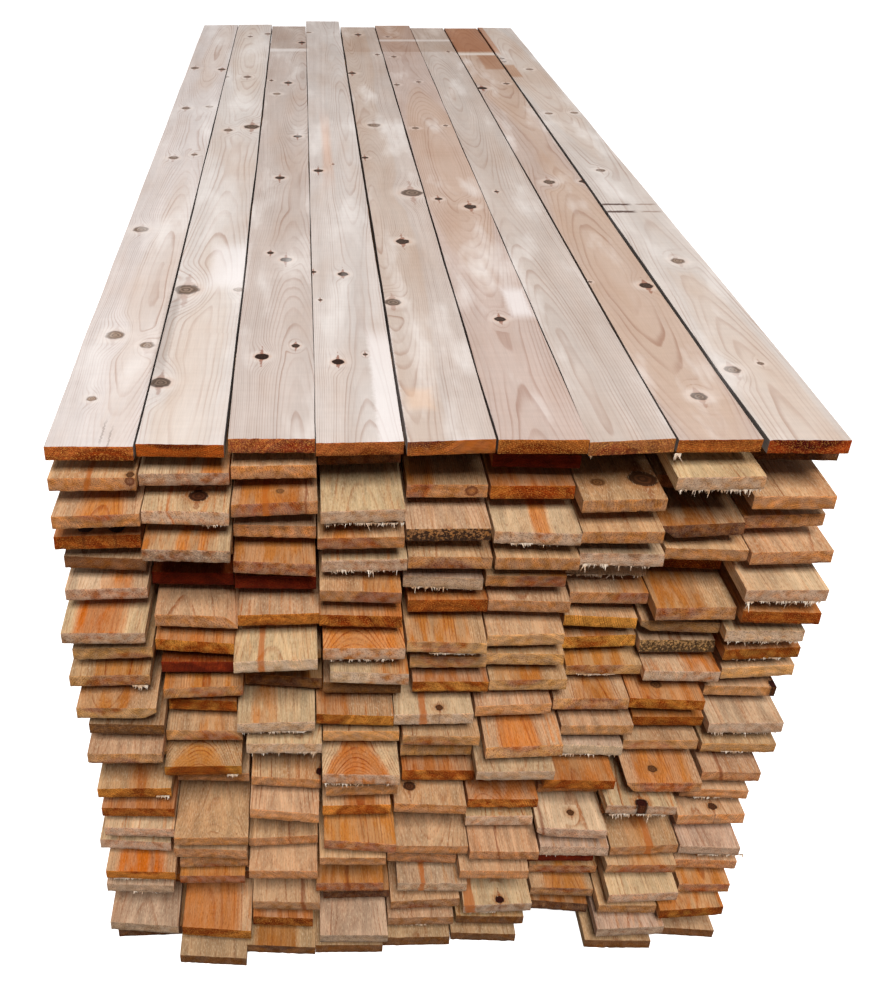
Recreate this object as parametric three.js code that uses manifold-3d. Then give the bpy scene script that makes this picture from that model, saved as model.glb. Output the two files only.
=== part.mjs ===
// A stack of sawn pine boards: layers of boards laid side by side, with spacer laths across each layer so
// that air can pass between them. Millimetres, +Z up, boards along Y, front ends towards -Y.
import * as THREE from "three";
import { mergeVertices } from "three/addons/utils/BufferGeometryUtils.js";
import Module from "manifold-3d";

const wasm = await Module();
wasm.setup();

// Boards.
const boardWidth = 100;
const boardThickness = 18;
const boardLength = 2500;
const boardLengthSpread = 30; // a board is up to this much longer or shorter than boardLength

// Spacer laths, which lie across a layer.
const lathWidth = 48;
const lathThickness = 24;
const lathSetIn = 4; // from the side of the narrower of the two layers that it parts
const firstLathFromFront = 250;
const lathSpacing = 620;
const lathFromBack = 200; // the least distance from a lath's middle to the back of the stack

// The stack.
const boardsAcross = 9;
const layerCount = 22;

// Each table below has a row for each layer, from the top down, with a value for each board, from the left.

// How far each board's front end stands out of the front plane. Negative ends are set back.
const standOut = [
  [10, 5, -10, -5, -5, -5, -5, -5, -5],
  [10, -5, -20, -55, -95, -45, -90, 6, -60],
  [23, 15, -2, 13, -48, -42, -10, -65, -22],
  [0, 30, -21, 4, -10, -6, -47, -25, -44],
  [-13, -45, -1, -10, -13, -12, -21, -30, -24],
  [-4, -36, -27, 0, -30, -31, -56, -75, 0],
  [30, -5, -6, -30, -35, -33, -50, -20, -10],
  [10, -4, 33, 10, 0, -20, -54, -45, -25],
  [14, -15, -40, 9, -20, -30, -66, -57, -40],
  [30, -9, -33, -20, -20, -25, -55, -41, -50],
  [15, -32, 12, -28, -2, -20, -31, -31, -60],
  [26, -15, 8, -13, -5, 16, -26, -46, -30],
  [-30, 9, -50, 25, -30, 19, -30, -40, -35],
  [9, -20, -8, 5, -22, -40, -5, 0, -21],
  [8, -70, 15, 3, 2, -7, -38, 5, -27],
  [9, 25, -45, 33, -40, -15, 10, -35, -15],
  [-5, 10, -13, 25, 3, 14, 5, 5, 6],
  [15, -10, 15, -30, -15, 14, -16, 6, -5],
  [5, -9, -40, 4, 4, -35, -30, 20, 3],
  [-45, -55, 5, -16, 0, 9, -20, 10, 17],
  [13, 20, 0, 29, 0, -1, -29, 19, -35],
  [-11, 39, 20, 19, 5, -2, -60, 10, -10],
];

// How much wider than boardWidth each board is.
const extraWidth = [
  [2, 0, 0, 0, 1, 3, -3, -3, -2],
  [2, 4, 0, -1, 3, 4, -4, 1, 2],
  [2, 3, 1, -1, -3, 2, 0, -1, 1],
  [3, 3, 0, 4, 3, 4, -2, 3, 0],
  [0, 3, 1, 4, 3, 3, 3, 3, 2],
  [3, 3, 2, 2, 1, 1, 2, 0, 3],
  [5, 5, 2, 4, 2, 3, 0, 3, 2],
  [3, 1, 5, 4, 3, 0, -3, 2, 2],
  [4, 2, 2, 2, 0, 2, -2, 1, 2],
  [4, 5, 3, 4, 1, 3, 0, 2, 0],
  [-1, -7, 4, 4, 5, 4, 2, 1, -2],
  [0, 3, 1, 4, 4, 5, 0, -2, 2],
  [-1, 4, 2, 5, 0, 5, 0, 3, 4],
  [3, -1, -2, 0, 2, -7, -2, 6, -16],
  [2, -1, -2, -4, 3, 0, -14, 0, -4],
  [0, 4, 0, 1, -1, -3, -2, 0, -1],
  [5, 6, -1, -3, 4, 0, 0, -1, -12],
  [2, 2, 1, -1, 1, 1, -2, 3, -11],
  [2, -2, 0, 1, 4, -5, 0, 4, -24],
  [0, 4, 3, 1, 4, 3, -5, -12, -3],
  [3, 5, -8, 3, 1, 3, 2, 3, -14],
  [2, -1, 3, 1, 3, 1, 0, 2, -6],
];

// The gap on the left of each board. The first of a row is how far the layer's left side lies to the right
// of the top layer's.
const gapBefore = [
  [0, 2, 3, 1, 4, 3, 1, 3, 5],
  [0, 1, 2, 2, 3, 4, 2, 3, 8],
  [2, 1, 1, 4, 7, 3, 2, 3, 4],
  [-5, 6, 2, 2, 2, 4, 1, 2, 3],
  [0, 3, 2, 8, 2, 4, 2, 4, 2],
  [-2, 2, 2, 4, 4, 3, 6, 3, 5],
  [-6, 7, 1, 1, 9, 2, 5, 2, 3],
  [0, 2, 1, 7, 3, 3, 5, 3, 3],
  [-7, 11, 6, 10, 4, 2, 6, 3, 6],
  [0, 5, 2, 2, 15, 2, 6, 2, 4],
  [10, 2, 2, 2, 1, 4, 5, 2, 9],
  [5, 2, 8, 2, 5, 6, 4, 4, 3],
  [4, 2, 4, 5, 5, 2, 5, 4, 5],
  [8, 7, 5, 6, 8, 2, 2, 15, 6],
  [10, 3, 5, 5, 5, 2, 7, 2, 15],
  [10, 2, 3, 5, 3, 3, 3, 3, 5],
  [-3, 5, 3, 2, 16, 2, 3, 2, 2],
  [6, 3, 2, 2, 3, 4, 4, 13, 2],
  [0, 7, 3, 4, 21, 2, 3, 8, 5],
  [3, 5, 6, 4, 2, 5, 4, 2, 2],
  [0, 8, 2, 10, 2, 4, 3, 4, 3],
  [6, 2, 2, 2, 3, 2, 3, 3, 8],
];

// How much longer than boardLength each board of the top layer is, from the left.
const topExtraLength = [45, 45, 5, 90, -5, 20, -20, -25, -15];

// Boards cut near the bark, whose lower edge is missing a corner of the given width and depth.
const wane = [
  { layer: 4, board: 8, side: "left", width: 18, depth: 12 },
  { layer: 8, board: 8, side: "left", width: 14, depth: 8 },
  { layer: 10, board: 1, side: "right", width: 18, depth: 10 },
  { layer: 14, board: 8, side: "left", width: 12, depth: 15 },
  { layer: 16, board: 7, side: "left", width: 12, depth: 7 },
];

const pine = { roughness: 0.85, metalness: 0 };
const topMaterial = new THREE.MeshStandardMaterial({ color: "#d9c0a6", ...pine });
const layerMaterials = ["#d3a674", "#c8955f", "#dab384"].map(
  (color) => new THREE.MeshStandardMaterial({ color, ...pine }),
);

const layerPitch = boardThickness + lathThickness;
const lathCount =
  1 + Math.floor((boardLength - firstLathFromFront - lathFromBack) / lathSpacing);

function pick(values, index) {
  return values[index % values.length];
}

// A number from -1 to 1 that looks random, but is the same for the same board each time.
function uneven(layer, board) {
  const wave = Math.sin(12.9898 * layer + 4.1414 * board + 30.1) * 43758.5453;
  return 2 * (wave - Math.floor(wave)) - 1;
}

function bottomOf(layer) {
  return (layerCount - layer) * layerPitch;
}

// Where the boards of one layer lie, from the left. Layers and boards are counted from 1.
function placesInLayer(layer) {
  const places = [];
  let side = 0;
  for (let board = 1; board <= boardsAcross; board++) {
    const left = side + pick(pick(gapBefore, layer - 1), board - 1);
    const width = boardWidth + pick(pick(extraWidth, layer - 1), board - 1);
    const extra =
      layer === 1 ? pick(topExtraLength, board - 1) : boardLengthSpread * uneven(layer, board);
    places.push({
      left,
      width,
      front: -pick(pick(standOut, layer - 1), board - 1),
      length: boardLength + extra,
      wane: wane.find((w) => w.layer === layer && w.board === board),
    });
    side = left + width;
  }
  return places;
}

// A board's cross-section, with its lower left corner at the origin.
function boardSection(width, missing) {
  const cutLeft = missing && missing.side === "left";
  const cutRight = missing && missing.side === "right";
  const section = new THREE.Shape();
  section.moveTo(cutLeft ? missing.width : 0, 0);
  section.lineTo(cutRight ? width - missing.width : width, 0);
  if (cutRight) section.lineTo(width, missing.depth);
  section.lineTo(width, boardThickness);
  section.lineTo(0, boardThickness);
  if (cutLeft) section.lineTo(0, missing.depth);
  section.closePath();
  return section;
}

function boardGeometry(place, bottom) {
  return new THREE.ExtrudeGeometry(boardSection(place.width, place.wane), {
    depth: place.length,
    steps: 1,
    bevelEnabled: false,
  })
    .rotateX(Math.PI / 2)
    .translate(place.left, place.front + place.length, bottom);
}

// A lath that lies on a layer and carries the one above it.
function lathGeometry(index, layer) {
  const parted = [placesInLayer(layer), placesInLayer(layer - 1)];
  const left = Math.max(...parted.map((places) => places.at(0).left)) + lathSetIn;
  const rightSides = parted.map((places) => places.at(-1).left + places.at(-1).width);
  const right = Math.min(...rightSides) - lathSetIn;
  return new THREE.BoxGeometry(right - left, lathWidth, lathThickness).translate(
    (left + right) / 2,
    firstLathFromFront + index * lathSpacing,
    bottomOf(layer) + boardThickness + lathThickness / 2,
  );
}

function solidOf(geometry) {
  const bare = geometry.clone();
  bare.deleteAttribute("normal");
  bare.deleteAttribute("uv");
  const merged = mergeVertices(bare, 1e-3);
  return new wasm.Manifold(
    new wasm.Mesh({
      numProp: 3,
      vertProperties: new Float32Array(merged.attributes.position.array),
      triVerts: new Uint32Array(merged.index.array),
    }),
  );
}

function geometryOf(solid) {
  const { numProp, numVert, vertProperties, triVerts } = solid.getMesh();
  const positions = new Float32Array(numVert * 3);
  for (let i = 0; i < numVert; i++) {
    positions.set(vertProperties.subarray(i * numProp, i * numProp + 3), i * 3);
  }
  const geometry = new THREE.BufferGeometry();
  geometry.setAttribute("position", new THREE.BufferAttribute(positions, 3));
  geometry.setIndex(new THREE.BufferAttribute(new Uint32Array(triVerts), 1));
  return geometry;
}

function addMesh(group, name, geometry, material) {
  const mesh = new THREE.Mesh(geometry, material);
  mesh.name = name;
  group.add(mesh);
}

// The boards of the top layer are loose on the laths below them.
function addTopLayer(group) {
  placesInLayer(1).forEach((place, i) => {
    addMesh(group, `top_board_${i + 1}`, boardGeometry(place, bottomOf(1)), topMaterial);
  });
}

// Each lower layer is one solid: its boards, joined by the laths that lie across them.
function addLayer(group, layer) {
  const bottom = bottomOf(layer);
  const boards = placesInLayer(layer).map((place) => boardGeometry(place, bottom));
  const laths = Array.from({ length: lathCount }, (_, i) => lathGeometry(i, layer));
  const solid = [...boards, ...laths].map(solidOf).reduce((all, piece) => all.add(piece));
  const name = `board_layer_${String(layer).padStart(2, "0")}`;
  addMesh(group, name, geometryOf(solid), pick(layerMaterials, layer));
}

const stack = new THREE.Group();
stack.name = "lumber_stack";
addTopLayer(stack);
for (let layer = 2; layer <= layerCount; layer++) {
  addLayer(stack, layer);
}

// The origin is on the floor, in the middle of the stack's box.
const middle = new THREE.Box3().setFromObject(stack).getCenter(new THREE.Vector3());
stack.position.set(-middle.x, -middle.y, 0);

export default stack;
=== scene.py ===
# A stack of sawn pine boards on spacer laths: weathered boards on top, and 21 layers below whose cut
# ends show growth rings, orange heartwood and torn fibres. Blender 4.5, metres, +Z up.
import math

import bpy
import numpy as np
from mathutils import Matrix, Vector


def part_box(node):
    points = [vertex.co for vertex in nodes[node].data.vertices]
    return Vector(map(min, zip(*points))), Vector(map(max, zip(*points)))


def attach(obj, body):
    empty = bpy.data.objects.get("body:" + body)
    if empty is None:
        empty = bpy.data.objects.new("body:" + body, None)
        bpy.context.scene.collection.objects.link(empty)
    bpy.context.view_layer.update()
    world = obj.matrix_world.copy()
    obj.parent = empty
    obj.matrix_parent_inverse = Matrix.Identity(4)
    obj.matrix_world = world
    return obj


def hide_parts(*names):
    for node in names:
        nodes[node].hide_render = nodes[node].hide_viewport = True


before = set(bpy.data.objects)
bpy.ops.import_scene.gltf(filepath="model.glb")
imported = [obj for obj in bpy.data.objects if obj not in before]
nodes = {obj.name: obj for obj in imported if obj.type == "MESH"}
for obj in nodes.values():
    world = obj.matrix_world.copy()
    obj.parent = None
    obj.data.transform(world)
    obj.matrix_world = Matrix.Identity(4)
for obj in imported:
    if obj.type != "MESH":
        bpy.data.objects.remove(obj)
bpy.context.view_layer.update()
lumberScene = bpy.context.scene
mm = 0.001
boardWidth, boardThickness = 100, 18  # mm, of the board that each one is made from


def deselectAll():
    bpy.ops.object.select_all(action="DESELECT")


def linearColour(hexText):
    # sRGB hex to the linear values that shaders use
    parts = [int(hexText[i : i + 2], 16) / 255 for i in (1, 3, 5)]
    return [p / 12.92 if p <= 0.04045 else ((p + 0.055) / 1.055) ** 2.4 for p in parts] + [1.0]


# camera: at head height, a step in front of the stack and a little left of its middle
print("camera")
view = {
    "lens": 40.5,  # mm on a 36 mm sensor, along the long side of a frame of 890 by 1000
    "shiftX": 0.145,
    "pitch": 32.8,  # degrees below the horizon
    "fromCorner": (0.2898, -1.0962, 0.636),  # m, from the first top board's upper front left corner
    "farthest": 60,  # m
}
firstLowest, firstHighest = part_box("top_board_1")
corner = (firstLowest[0], firstLowest[1], firstHighest[2])
viewPlace = [c + away for c, away in zip(corner, view["fromCorner"])]
bpy.ops.object.camera_add(location=viewPlace, rotation=(math.radians(90 - view["pitch"]), 0, 0))
camera = bpy.context.object
camera.data.lens = view["lens"]
camera.data.shift_x = view["shiftX"]
camera.data.clip_end = view["farthest"]
lumberScene.camera = camera


# the boards' and laths' places, read from the frame, in mm
slack = 1  # mm, within which corners count as level
pastLaths = 1100  # mm from the middle, beyond which a layer's corners belong to its boards


def cornersOf(node):
    return np.array([v.co for v in node.data.vertices]) / mm


def boardPlaces(node):
    # each board's sides, ends and height, from the corners of its layer's upper faces
    points = cornersOf(node)
    bottom = points[:, 2].min()
    top = points[points[:, 2] > bottom + boardThickness - slack, 2].min()
    upper = points[abs(points[:, 2] - top) < slack]
    sides = np.unique(upper[abs(upper[:, 1]) > pastLaths, 0].round(1))
    places = []
    for left, right in zip(sides[0::2], sides[1::2]):
        ends = upper[(upper[:, 0] > left - slack) & (upper[:, 0] < right + slack), 1]
        places.append({"left": left, "width": right - left, "front": ends.min(), "back": ends.max(),
                       "bottom": bottom})
    return places


def lathPlaces(node):
    # each lath's box, from the corners of its upper face
    points = cornersOf(node)
    top = points[:, 2].max()
    upper = points[points[:, 2] > top - slack]
    edges = np.unique(upper[:, 1].round(1))
    left, right = upper[:, 0].min(), upper[:, 0].max()
    return [{"left": left, "right": right, "front": front, "top": top} for front in edges[0::2]]


layerNames = sorted(n for n in nodes if n.startswith("board_layer_"))
topNames = sorted(n for n in nodes if n.startswith("top_board_"))


# what each board looks like
# A board is a slice of a log: the pith's place beside it and the heartwood's radius give its rings.
pithPlaces = {
    # x to the right of the board's middle, z above it, heartwood radius, in mm
    "n": (6, -64, 30),  # flat-sawn sapwood, with arched rings
    "a": (4, -46, 49),  # heartwood in an arch along the lower face
    "u": (-3, 44, 46),  # heartwood in a band along the upper face
    "A": (-8, -40, 110),  # all heartwood
    "l": (-62, 26, 62),  # heartwood on the left
    "r": (60, -28, 62),  # heartwood on the right
    "v": (135, 30, 40),  # nearly upright rings
    "c": (5, 7, 40),  # sawn through the pith
}
finishes = {
    # sapwood and heartwood on the cut end, the same two on the sawn faces, then for the end only: how much
    # pale fuzz it has, how clear its rings are and how many bright specks it has
    "w": ("#c49370", "#b06228", "#cfae88", "#cf7f3a", 0.65, 0.4, 0.2),  # bleached, fuzzy end
    "t": ("#bd7f48", "#9a4a18", "#c89d74", "#c27a38", 0.25, 0.6, 0.4),  # dry sapwood
    "o": ("#c47c34", "#8c3c0a", "#c39870", "#bd743a", 0.0, 0.9, 0.7),  # resinous heartwood
    "b": ("#7e4a1c", "#5a2a0e", "#b8936c", "#a86a32", 0.1, 0.7, 0.3),  # brown with dirt, and also painted shade on boards that sit deep in shade
    "r": ("#862c0e", "#641a08", "#9c5624", "#863a10", 0.0, 0.5, 0.1),  # dark red heartwood
    "g": ("#ba9878", "#a46438", "#c2a084", "#be8048", 0.45, 0.4, 0.1),  # greyed end
    "m": ("#9a6c40", "#7e5024", "#c4a07c", "#b68450", 0.1, 0.3, 0.5),  # mouldy end
}
# A row for each layer below the top one: each board's finish, then its pith's place, from the left.
boardKinds = [
    "tn wr tn bA tn rA tn wn bA",
    "tu wn tc wn tl oA tv bn tn",
    "oA wu tv ta mn wu tn bA tl",
    "bn tn tA wn ta tv wu tn tn",
    "wa rA rA tr gn tr gn oA wn",
    "wu tn oa oA oA ta tr tu oA",
    "ta oA wn wA tu tn ov ta wn",
    "ta rA tn wr tu tn ou mn oA",
    "tu tA bA bn oA tu tu wr tn",
    "bn oA wu ol wn ta ta oA tn",
    "ta ta wn tn ta tu tv oA wn",
    "tn oa bA wa tn wn gn ta tn",
    "oa tn tn ta oA tn oA tc tn",
    "oA tn tn oa tn oA tn wn tn",
    "wn tn tn tA tn wn wn tn ta",
    "wn tn tv ta tn tv gn tu gn",
    "ou ta tn tn ta tn rA ta tn",
    "gn tA tn tA gn wn ta wu tu",
    "oA ba tn bA ta wn tu tu oA",
    "gn ou oA gn tn bn bA gn oA",
    "bA bn bu bn bn bn bA bn bn",
]

# The cut ends of a layer differ from those finishes by linear red, green and blue, down to the layer given.
layerTints = [
    (4, (1.0, 0.9, 0.72)),
    (7, (0.93, 0.85, 0.72)),
    (10, (1.18, 1.36, 1.36)),
    (13, (1.14, 1.22, 1.16)),
    (16, (1.2, 1.16, 1.13)),
    (19, (1.1, 1.03, 1.02)),
    (22, (0.8, 0.78, 0.75)),  # darker near the ground: partly dirt, partly painted shade
]


# What sets single boards apart, by layer and place in it. Places and sizes are in mm from a board's left side
# and its front end.
#   knots: (from the left, from the front, radius, darkness)
#   endKnot: one that the saw cut through at the end, (from the left, height, half width, half height)
#   band: heartwood that comes through the upper face, or through the lower one where its depth is negative,
#     (left, right, depth); heartFace: its colour on the faces; evenHeart: how little its patches vary
#   pith: (x and z as in pithPlaces, heartwood radius)
#   arches: how much rings close round the middle of the face near its end
#   streak, darkStreak: (middle, half width), of resin and of dark wood; crack: where one starts at the end
#   fringe: torn fibres under the end, (length, left, right)
#   wane: a missing long edge, (side, width, depth, edge); leftOut: how far the left side is moved over
#   mould: how much of the end it covers
boardTraits = {
    "2.1": {"endKnot": (95, 13, 7, 7), "knots": [(95, 6, 5, 0.6)], "streak": (42, 3)},
    "2.2": {"crack": 64, "mould": 0.25},
    "2.8": {"fringe": (6, 2, 98)},
    "3.2": {"knots": [(64, 35, 11, 0.85)], "streak": (37, 1.5), "fringe": (4, 70, 98)},
    "3.3": {"knots": [(57, 26, 5, 0.1)], "streak": (41, 4), "darkStreak": (88, 2)},
    "3.4": {"fringe": (5, 5, 97)},
    "3.5": {"endKnot": (78, 9, 9, 8)},
    "3.7": {"knots": [(26, 40, 8, 0.15), (82, 46, 16, 0.75)]},
    "4.1": {"knots": [(36, 18, 9, 0.95), (74, 15, 8, 0.95)]},
    "4.2": {"mould": 0.35},
    "4.5": {"mould": 1.0},
    "4.6": {"band": (55, 76, 12), "fringe": (3, 20, 80)},
    "4.8": {"wane": ("left", 18, 12, "lower")},
    "5.4": {"crack": 30, "fringe": (6, 0, 96)},
    "5.7": {"fringe": (6, 3, 90)},
    "6.5": {"fringe": (5, 10, 95)},
    "6.7": {"fringe": (5, 2, 98)},
    "6.9": {"fringe": (7, 2, 98)},
    "7.1": {"band": (24, 80, 8), "evenHeart": 0.6, "heartFace": "#c8691a"},
    "7.2": {"wane": ("right", 15, 15, "upper"), "evenHeart": 0.1},
    "8.1": {"arches": 5},
    "8.3": {"streak": (35, 4)},
    "8.4": {"arches": 18, "fringe": (5, 8, 92)},
    "8.5": {"fringe": (3, 30, 90)},
    "8.8": {"crack": 22, "wane": ("left", 14, 8, "lower")},
    "8.9": {"fringe": (6, 4, 96)},
    "9.1": {"fringe": (5, 80, 100)},
    "9.8": {"mould": 0.9},
    "9.9": {"fringe": (3, 10, 80)},
    "10.1": {"arches": 14, "wane": ("right", 18, 10, "lower")},
    "10.7": {"fringe": (3, 15, 70)},
    "11.1": {"mould": 0.4},
    "11.3": {"fringe": (5, 5, 95)},
    "11.5": {"streak": (38, 5), "knots": [(60, 12, 5, 0.7)]},
    "11.8": {"knots": [(42, 30, 7, 0.3)]},
    "11.9": {"knots": [(95, 5, 6, 1.0)]},
    "12.3": {"fringe": (5, 4, 94)},
    "12.6": {"band": (15, 70, 10), "heartFace": "#cc7c36"},
    "12.9": {"fringe": (5, 6, 96)},
    "13.2": {"arches": 30, "pith": (3, -46, 48), "heartFace": "#c8823e", "fringe": (4, 85, 99)},
    "13.4": {"arches": 30, "pith": (6, -46, 51), "heartFace": "#c87a3a", "fringe": (6, 3, 97)},
    "13.6": {"crack": 46},
    "13.7": {"fringe": (5, 8, 92)},
    "13.9": {"fringe": (3, 30, 90)},
    "14.1": {"fringe": (4, 82, 99)},
    "14.3": {"knots": [(97, 14, 6, 1.0)]},
    "14.8": {"arches": 12, "knots": [(42, 26, 6, 0.6)], "wane": ("left", 12, 15, "lower")},
    "14.9": {"darkStreak": (30, 3)},
    "15.5": {"knots": [(24, 34, 8, 0.8)]},
    "15.6": {"arches": 16},
    "15.8": {"knots": [(50, 4, 8, 1.0)], "fringe": (6, 4, 96)},
    "15.9": {"fringe": (3, 20, 85)},
    "16.2": {"arches": 12},
    "16.7": {"knots": [(52, 30, 5, 0.7)], "darkStreak": (10, 2), "wane": ("left", 12, 7, "lower")},
    "16.9": {"knots": [(55, 16, 6, 0.8)]},
    "17.3": {"darkStreak": (60, 1.5)},
    "17.6": {"darkStreak": (44, 1.5)},
    "17.7": {"fringe": (3, 10, 70)},
    "17.8": {"streak": (55, 5)},
    "17.9": {"fringe": (4, 30, 95)},
    "18.1": {"band": (12, 76, 7), "evenHeart": 0.45, "heartFace": "#c8691a", "fringe": (3, 10, 90)},
    "19.1": {"fringe": (3, 40, 95)},
    "19.4": {"darkStreak": (50, 2.5)},
    "19.5": {"streak": (35, 4)},
    "20.3": {"darkStreak": (80, 3)},
    "20.6": {"knots": [(55, 8, 6, 1.0)], "streak": (12, 8), "fringe": (3, 10, 50)},
    "20.7": {"band": (20, 75, 7)},
    "21.2": {"band": (-40, 88, 16)},
    "21.5": {"fringe": (4, 10, 60)},
    "22.2": {"leftOut": -3.6},
    "22.3": {"band": (20, 80, 12), "leftOut": -3.6},
    "22.4": {"leftOut": -3.6},
    "22.5": {"leftOut": -3.6},
}


# the board blank, modelled once
print("board blank")
board = {
    "length": 2500,  # mm; each copy is drawn out to its own length between its ends
    "edgeRound": 0.7,  # taken off the long edges by handling
    "endCuts": (0.8, 2.4, 6, 14, 45),  # from each end, where the edges are chipped
    "acrossStep": 5,  # between the cuts across an end
    "throughCuts": (3, 7, 11, 15),  # above the lower face, at the ends
    "middleCuts": 18,  # along the rest of the board
    "middleAcross": (25, 50, 75),
}


def selectFaces(piece, test):
    bpy.ops.object.mode_set(mode="OBJECT")
    for face in piece.data.polygons:
        face.select = test(face.center / mm)
    bpy.ops.object.mode_set(mode="EDIT")


def modelBlank(name, size, edgeRound):
    # a box with rounded long edges
    deselectAll()
    bpy.ops.mesh.primitive_cube_add(size=1, location=[s * mm / 2 for s in size])
    blank = bpy.context.object
    blank.name = name
    blank.scale = [s * mm for s in size]
    bpy.ops.object.transform_apply(location=True, rotation=False, scale=True)
    longAxis = size.index(max(size))
    corners = blank.data.vertices
    bpy.ops.object.mode_set(mode="EDIT")
    bpy.ops.mesh.select_mode(type="EDGE")
    bpy.ops.mesh.select_all(action="DESELECT")
    bpy.ops.object.mode_set(mode="OBJECT")
    for edge in blank.data.edges:
        run = corners[edge.vertices[0]].co - corners[edge.vertices[1]].co
        edge.select = abs(run[longAxis]) > size[longAxis] * mm / 2
    bpy.ops.object.mode_set(mode="EDIT")
    bpy.ops.mesh.bevel(offset=edgeRound * mm, segments=2, profile=0.5)
    bpy.ops.mesh.select_mode(type="FACE")
    bpy.ops.object.mode_set(mode="OBJECT")
    return blank


def cutBlank(blank, axis, distances, test):
    # plane cuts square to an axis, through the faces that the test picks
    normal = [float(i == axis) for i in range(3)]
    for distance in distances:
        selectFaces(blank, test)
        bpy.ops.mesh.bisect(plane_co=[n * distance * mm for n in normal], plane_no=normal)
    bpy.ops.object.mode_set(mode="OBJECT")


def modelBoard():
    # fine at the ends, where the edges are uneven, and coarse between them
    length, zone = board["length"], max(board["endCuts"])
    blank = modelBlank("board_blank", (boardWidth, length, boardThickness), board["edgeRound"])
    step = (length - 2 * zone) / (board["middleCuts"] + 1)
    middle = [zone + step * (i + 1) for i in range(board["middleCuts"])]
    ends = [*board["endCuts"], *(length - c for c in board["endCuts"])]
    cutBlank(blank, 1, [*ends, *middle], lambda centre: True)
    across = range(board["acrossStep"], boardWidth, board["acrossStep"])
    cutBlank(blank, 0, across, lambda centre: not zone < centre.y < length - zone)
    cutBlank(blank, 2, board["throughCuts"], lambda centre: not zone < centre.y < length - zone)
    cutBlank(blank, 0, board["middleAcross"], lambda centre: zone < centre.y < length - zone)
    return blank


boardBlank = modelBoard()
print("  faces of a board:", len(boardBlank.data.polygons))


# each board is a copy of the blank with its own mesh
chips = {  # mm
    "sawTilt": 1.6,  # that the saw cut is out of square across a board
    "sawLean": 0.5,  # and from its upper to its lower face
    "sawReach": 8,  # from a cut end, within which faces follow it
    "grit": ((5, 0.25), (3, 0.15)),  # spacing and depth of the cut's roughness across and through a board
    "tear": 0.3,  # torn off the lower edge of a cut end
    "tearHigh": 3.5,
    "tearReach": 2.5,
    "nick": 0.15,  # knocked off its upper edge
    "edge": (90, 0.5),  # spacing and size of the wobble along the long edges
    "edgeReach": 12,
    "droop": 1.1,  # that a front end is warped up or down
    "warpReach": 260,  # as far as the first lath
    "warpMost": 3.5,
}
noiseReach = 3000  # mm


def smoothNoise(rng, places, spacing, size):
    # random values, joined up evenly along a line that is longer than any board
    count = int(noiseReach / spacing) + 3
    return np.interp(places, np.arange(count) * spacing - spacing, rng.normal(0, size, count))


def copyBlank(blank, name):
    # a copy with its own mesh, and its points in mm
    piece = blank.copy()
    piece.data = blank.data.copy()
    piece.name = name
    piece.data.name = name
    bpy.context.collection.objects.link(piece)
    points = np.empty(len(piece.data.vertices) * 3)
    piece.data.vertices.foreach_get("co", points)
    return piece, points.reshape(-1, 3) / mm


def movePoints(mesh, points):
    mesh.vertices.foreach_set("co", (points * mm).ravel())


def cutBoard(name, place, kind, rng, traits):
    piece, points = copyBlank(boardBlank, name)
    length, width = place["back"] - place["front"], place["width"]
    zone = max(board["endCuts"])
    x, y, z = points.T.copy()
    x = x * width / boardWidth
    stretch = (length - 2 * zone) / (board["length"] - 2 * zone)
    y = np.where(y <= zone, y, np.where(y >= board["length"] - zone, y + length - board["length"],
                                        zone + (y - zone) * stretch))
    before = np.stack([x, y, z], 1)
    fromEnd = np.minimum(y, length - y)
    sign = np.where(y < length / 2, 1.0, -1.0)
    backShift = 1200 * (sign < 0)  # the back end reads the noise from farther along
    halfWidth, halfThickness = boardWidth / 2, boardThickness / 2
    # saw cuts that aren't quite square or flat
    tilt = rng.normal(0, chips["sawTilt"]) * (x / halfWidth - 1)
    tilt += rng.normal(0, chips["sawLean"]) * (z / halfThickness - 1)
    across, through = chips["grit"]
    grit = smoothNoise(rng, x, *across) + smoothNoise(rng, z + 500, *through)
    y = y + sign * np.exp(-fromEnd / chips["sawReach"]) * (tilt + grit)
    # a torn lower edge and a nicked upper one
    atEnd = np.exp(-fromEnd / chips["tearReach"])
    tear = np.abs(smoothNoise(rng, x + backShift, 5, 1)) * chips["tear"] * rng.uniform(0.3, 1.5)
    low = np.clip(1 - z / chips["tearHigh"], 0, 1)
    z = z + low * atEnd * tear * 0.8
    y = y + sign * low * atEnd * tear * 0.7
    high = np.clip((z - 15) / 3, 0, 1)
    z = z - high * atEnd * np.abs(smoothNoise(rng, x + 700 + backShift, 5, chips["nick"]))
    # uneven long edges, and ends that are warped past the first lath
    leftSide = np.clip(1 - x / chips["edgeReach"], 0, 1)
    rightSide = np.clip(1 - (width - x) / chips["edgeReach"], 0, 1)
    x = x + leftSide * traits.get("leftOut", 0)
    x = x + leftSide * smoothNoise(rng, y, *chips["edge"]) + rightSide * smoothNoise(rng, y, *chips["edge"])
    overhang = np.clip(1 - before[:, 1] / chips["warpReach"], 0, 1) ** 2
    warp = rng.normal(0, chips["droop"]) + rng.normal(0, chips["droop"]) * (x / halfWidth - 1)
    z = z + overhang * np.clip(warp, -chips["warpMost"], chips["warpMost"])
    if "wane" in traits:
        side, reach, depth, edge = traits["wane"]
        fromSide = before[:, 0] if side == "left" else width - before[:, 0]
        missing = np.clip(1 - fromSide / reach, 0, 1) * depth
        if edge == "lower":
            z = z + missing * (1 - before[:, 2] / boardThickness)
        else:
            z = z - missing * before[:, 2] / boardThickness
    movePoints(piece.data, np.stack([x + place["left"], y + place["front"], z + place["bottom"]], 1))
    writeGrain(piece.data, before, kind, rng, traits)
    writeKnots(piece.data, before, traits.get("knots", []))
    return piece


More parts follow.
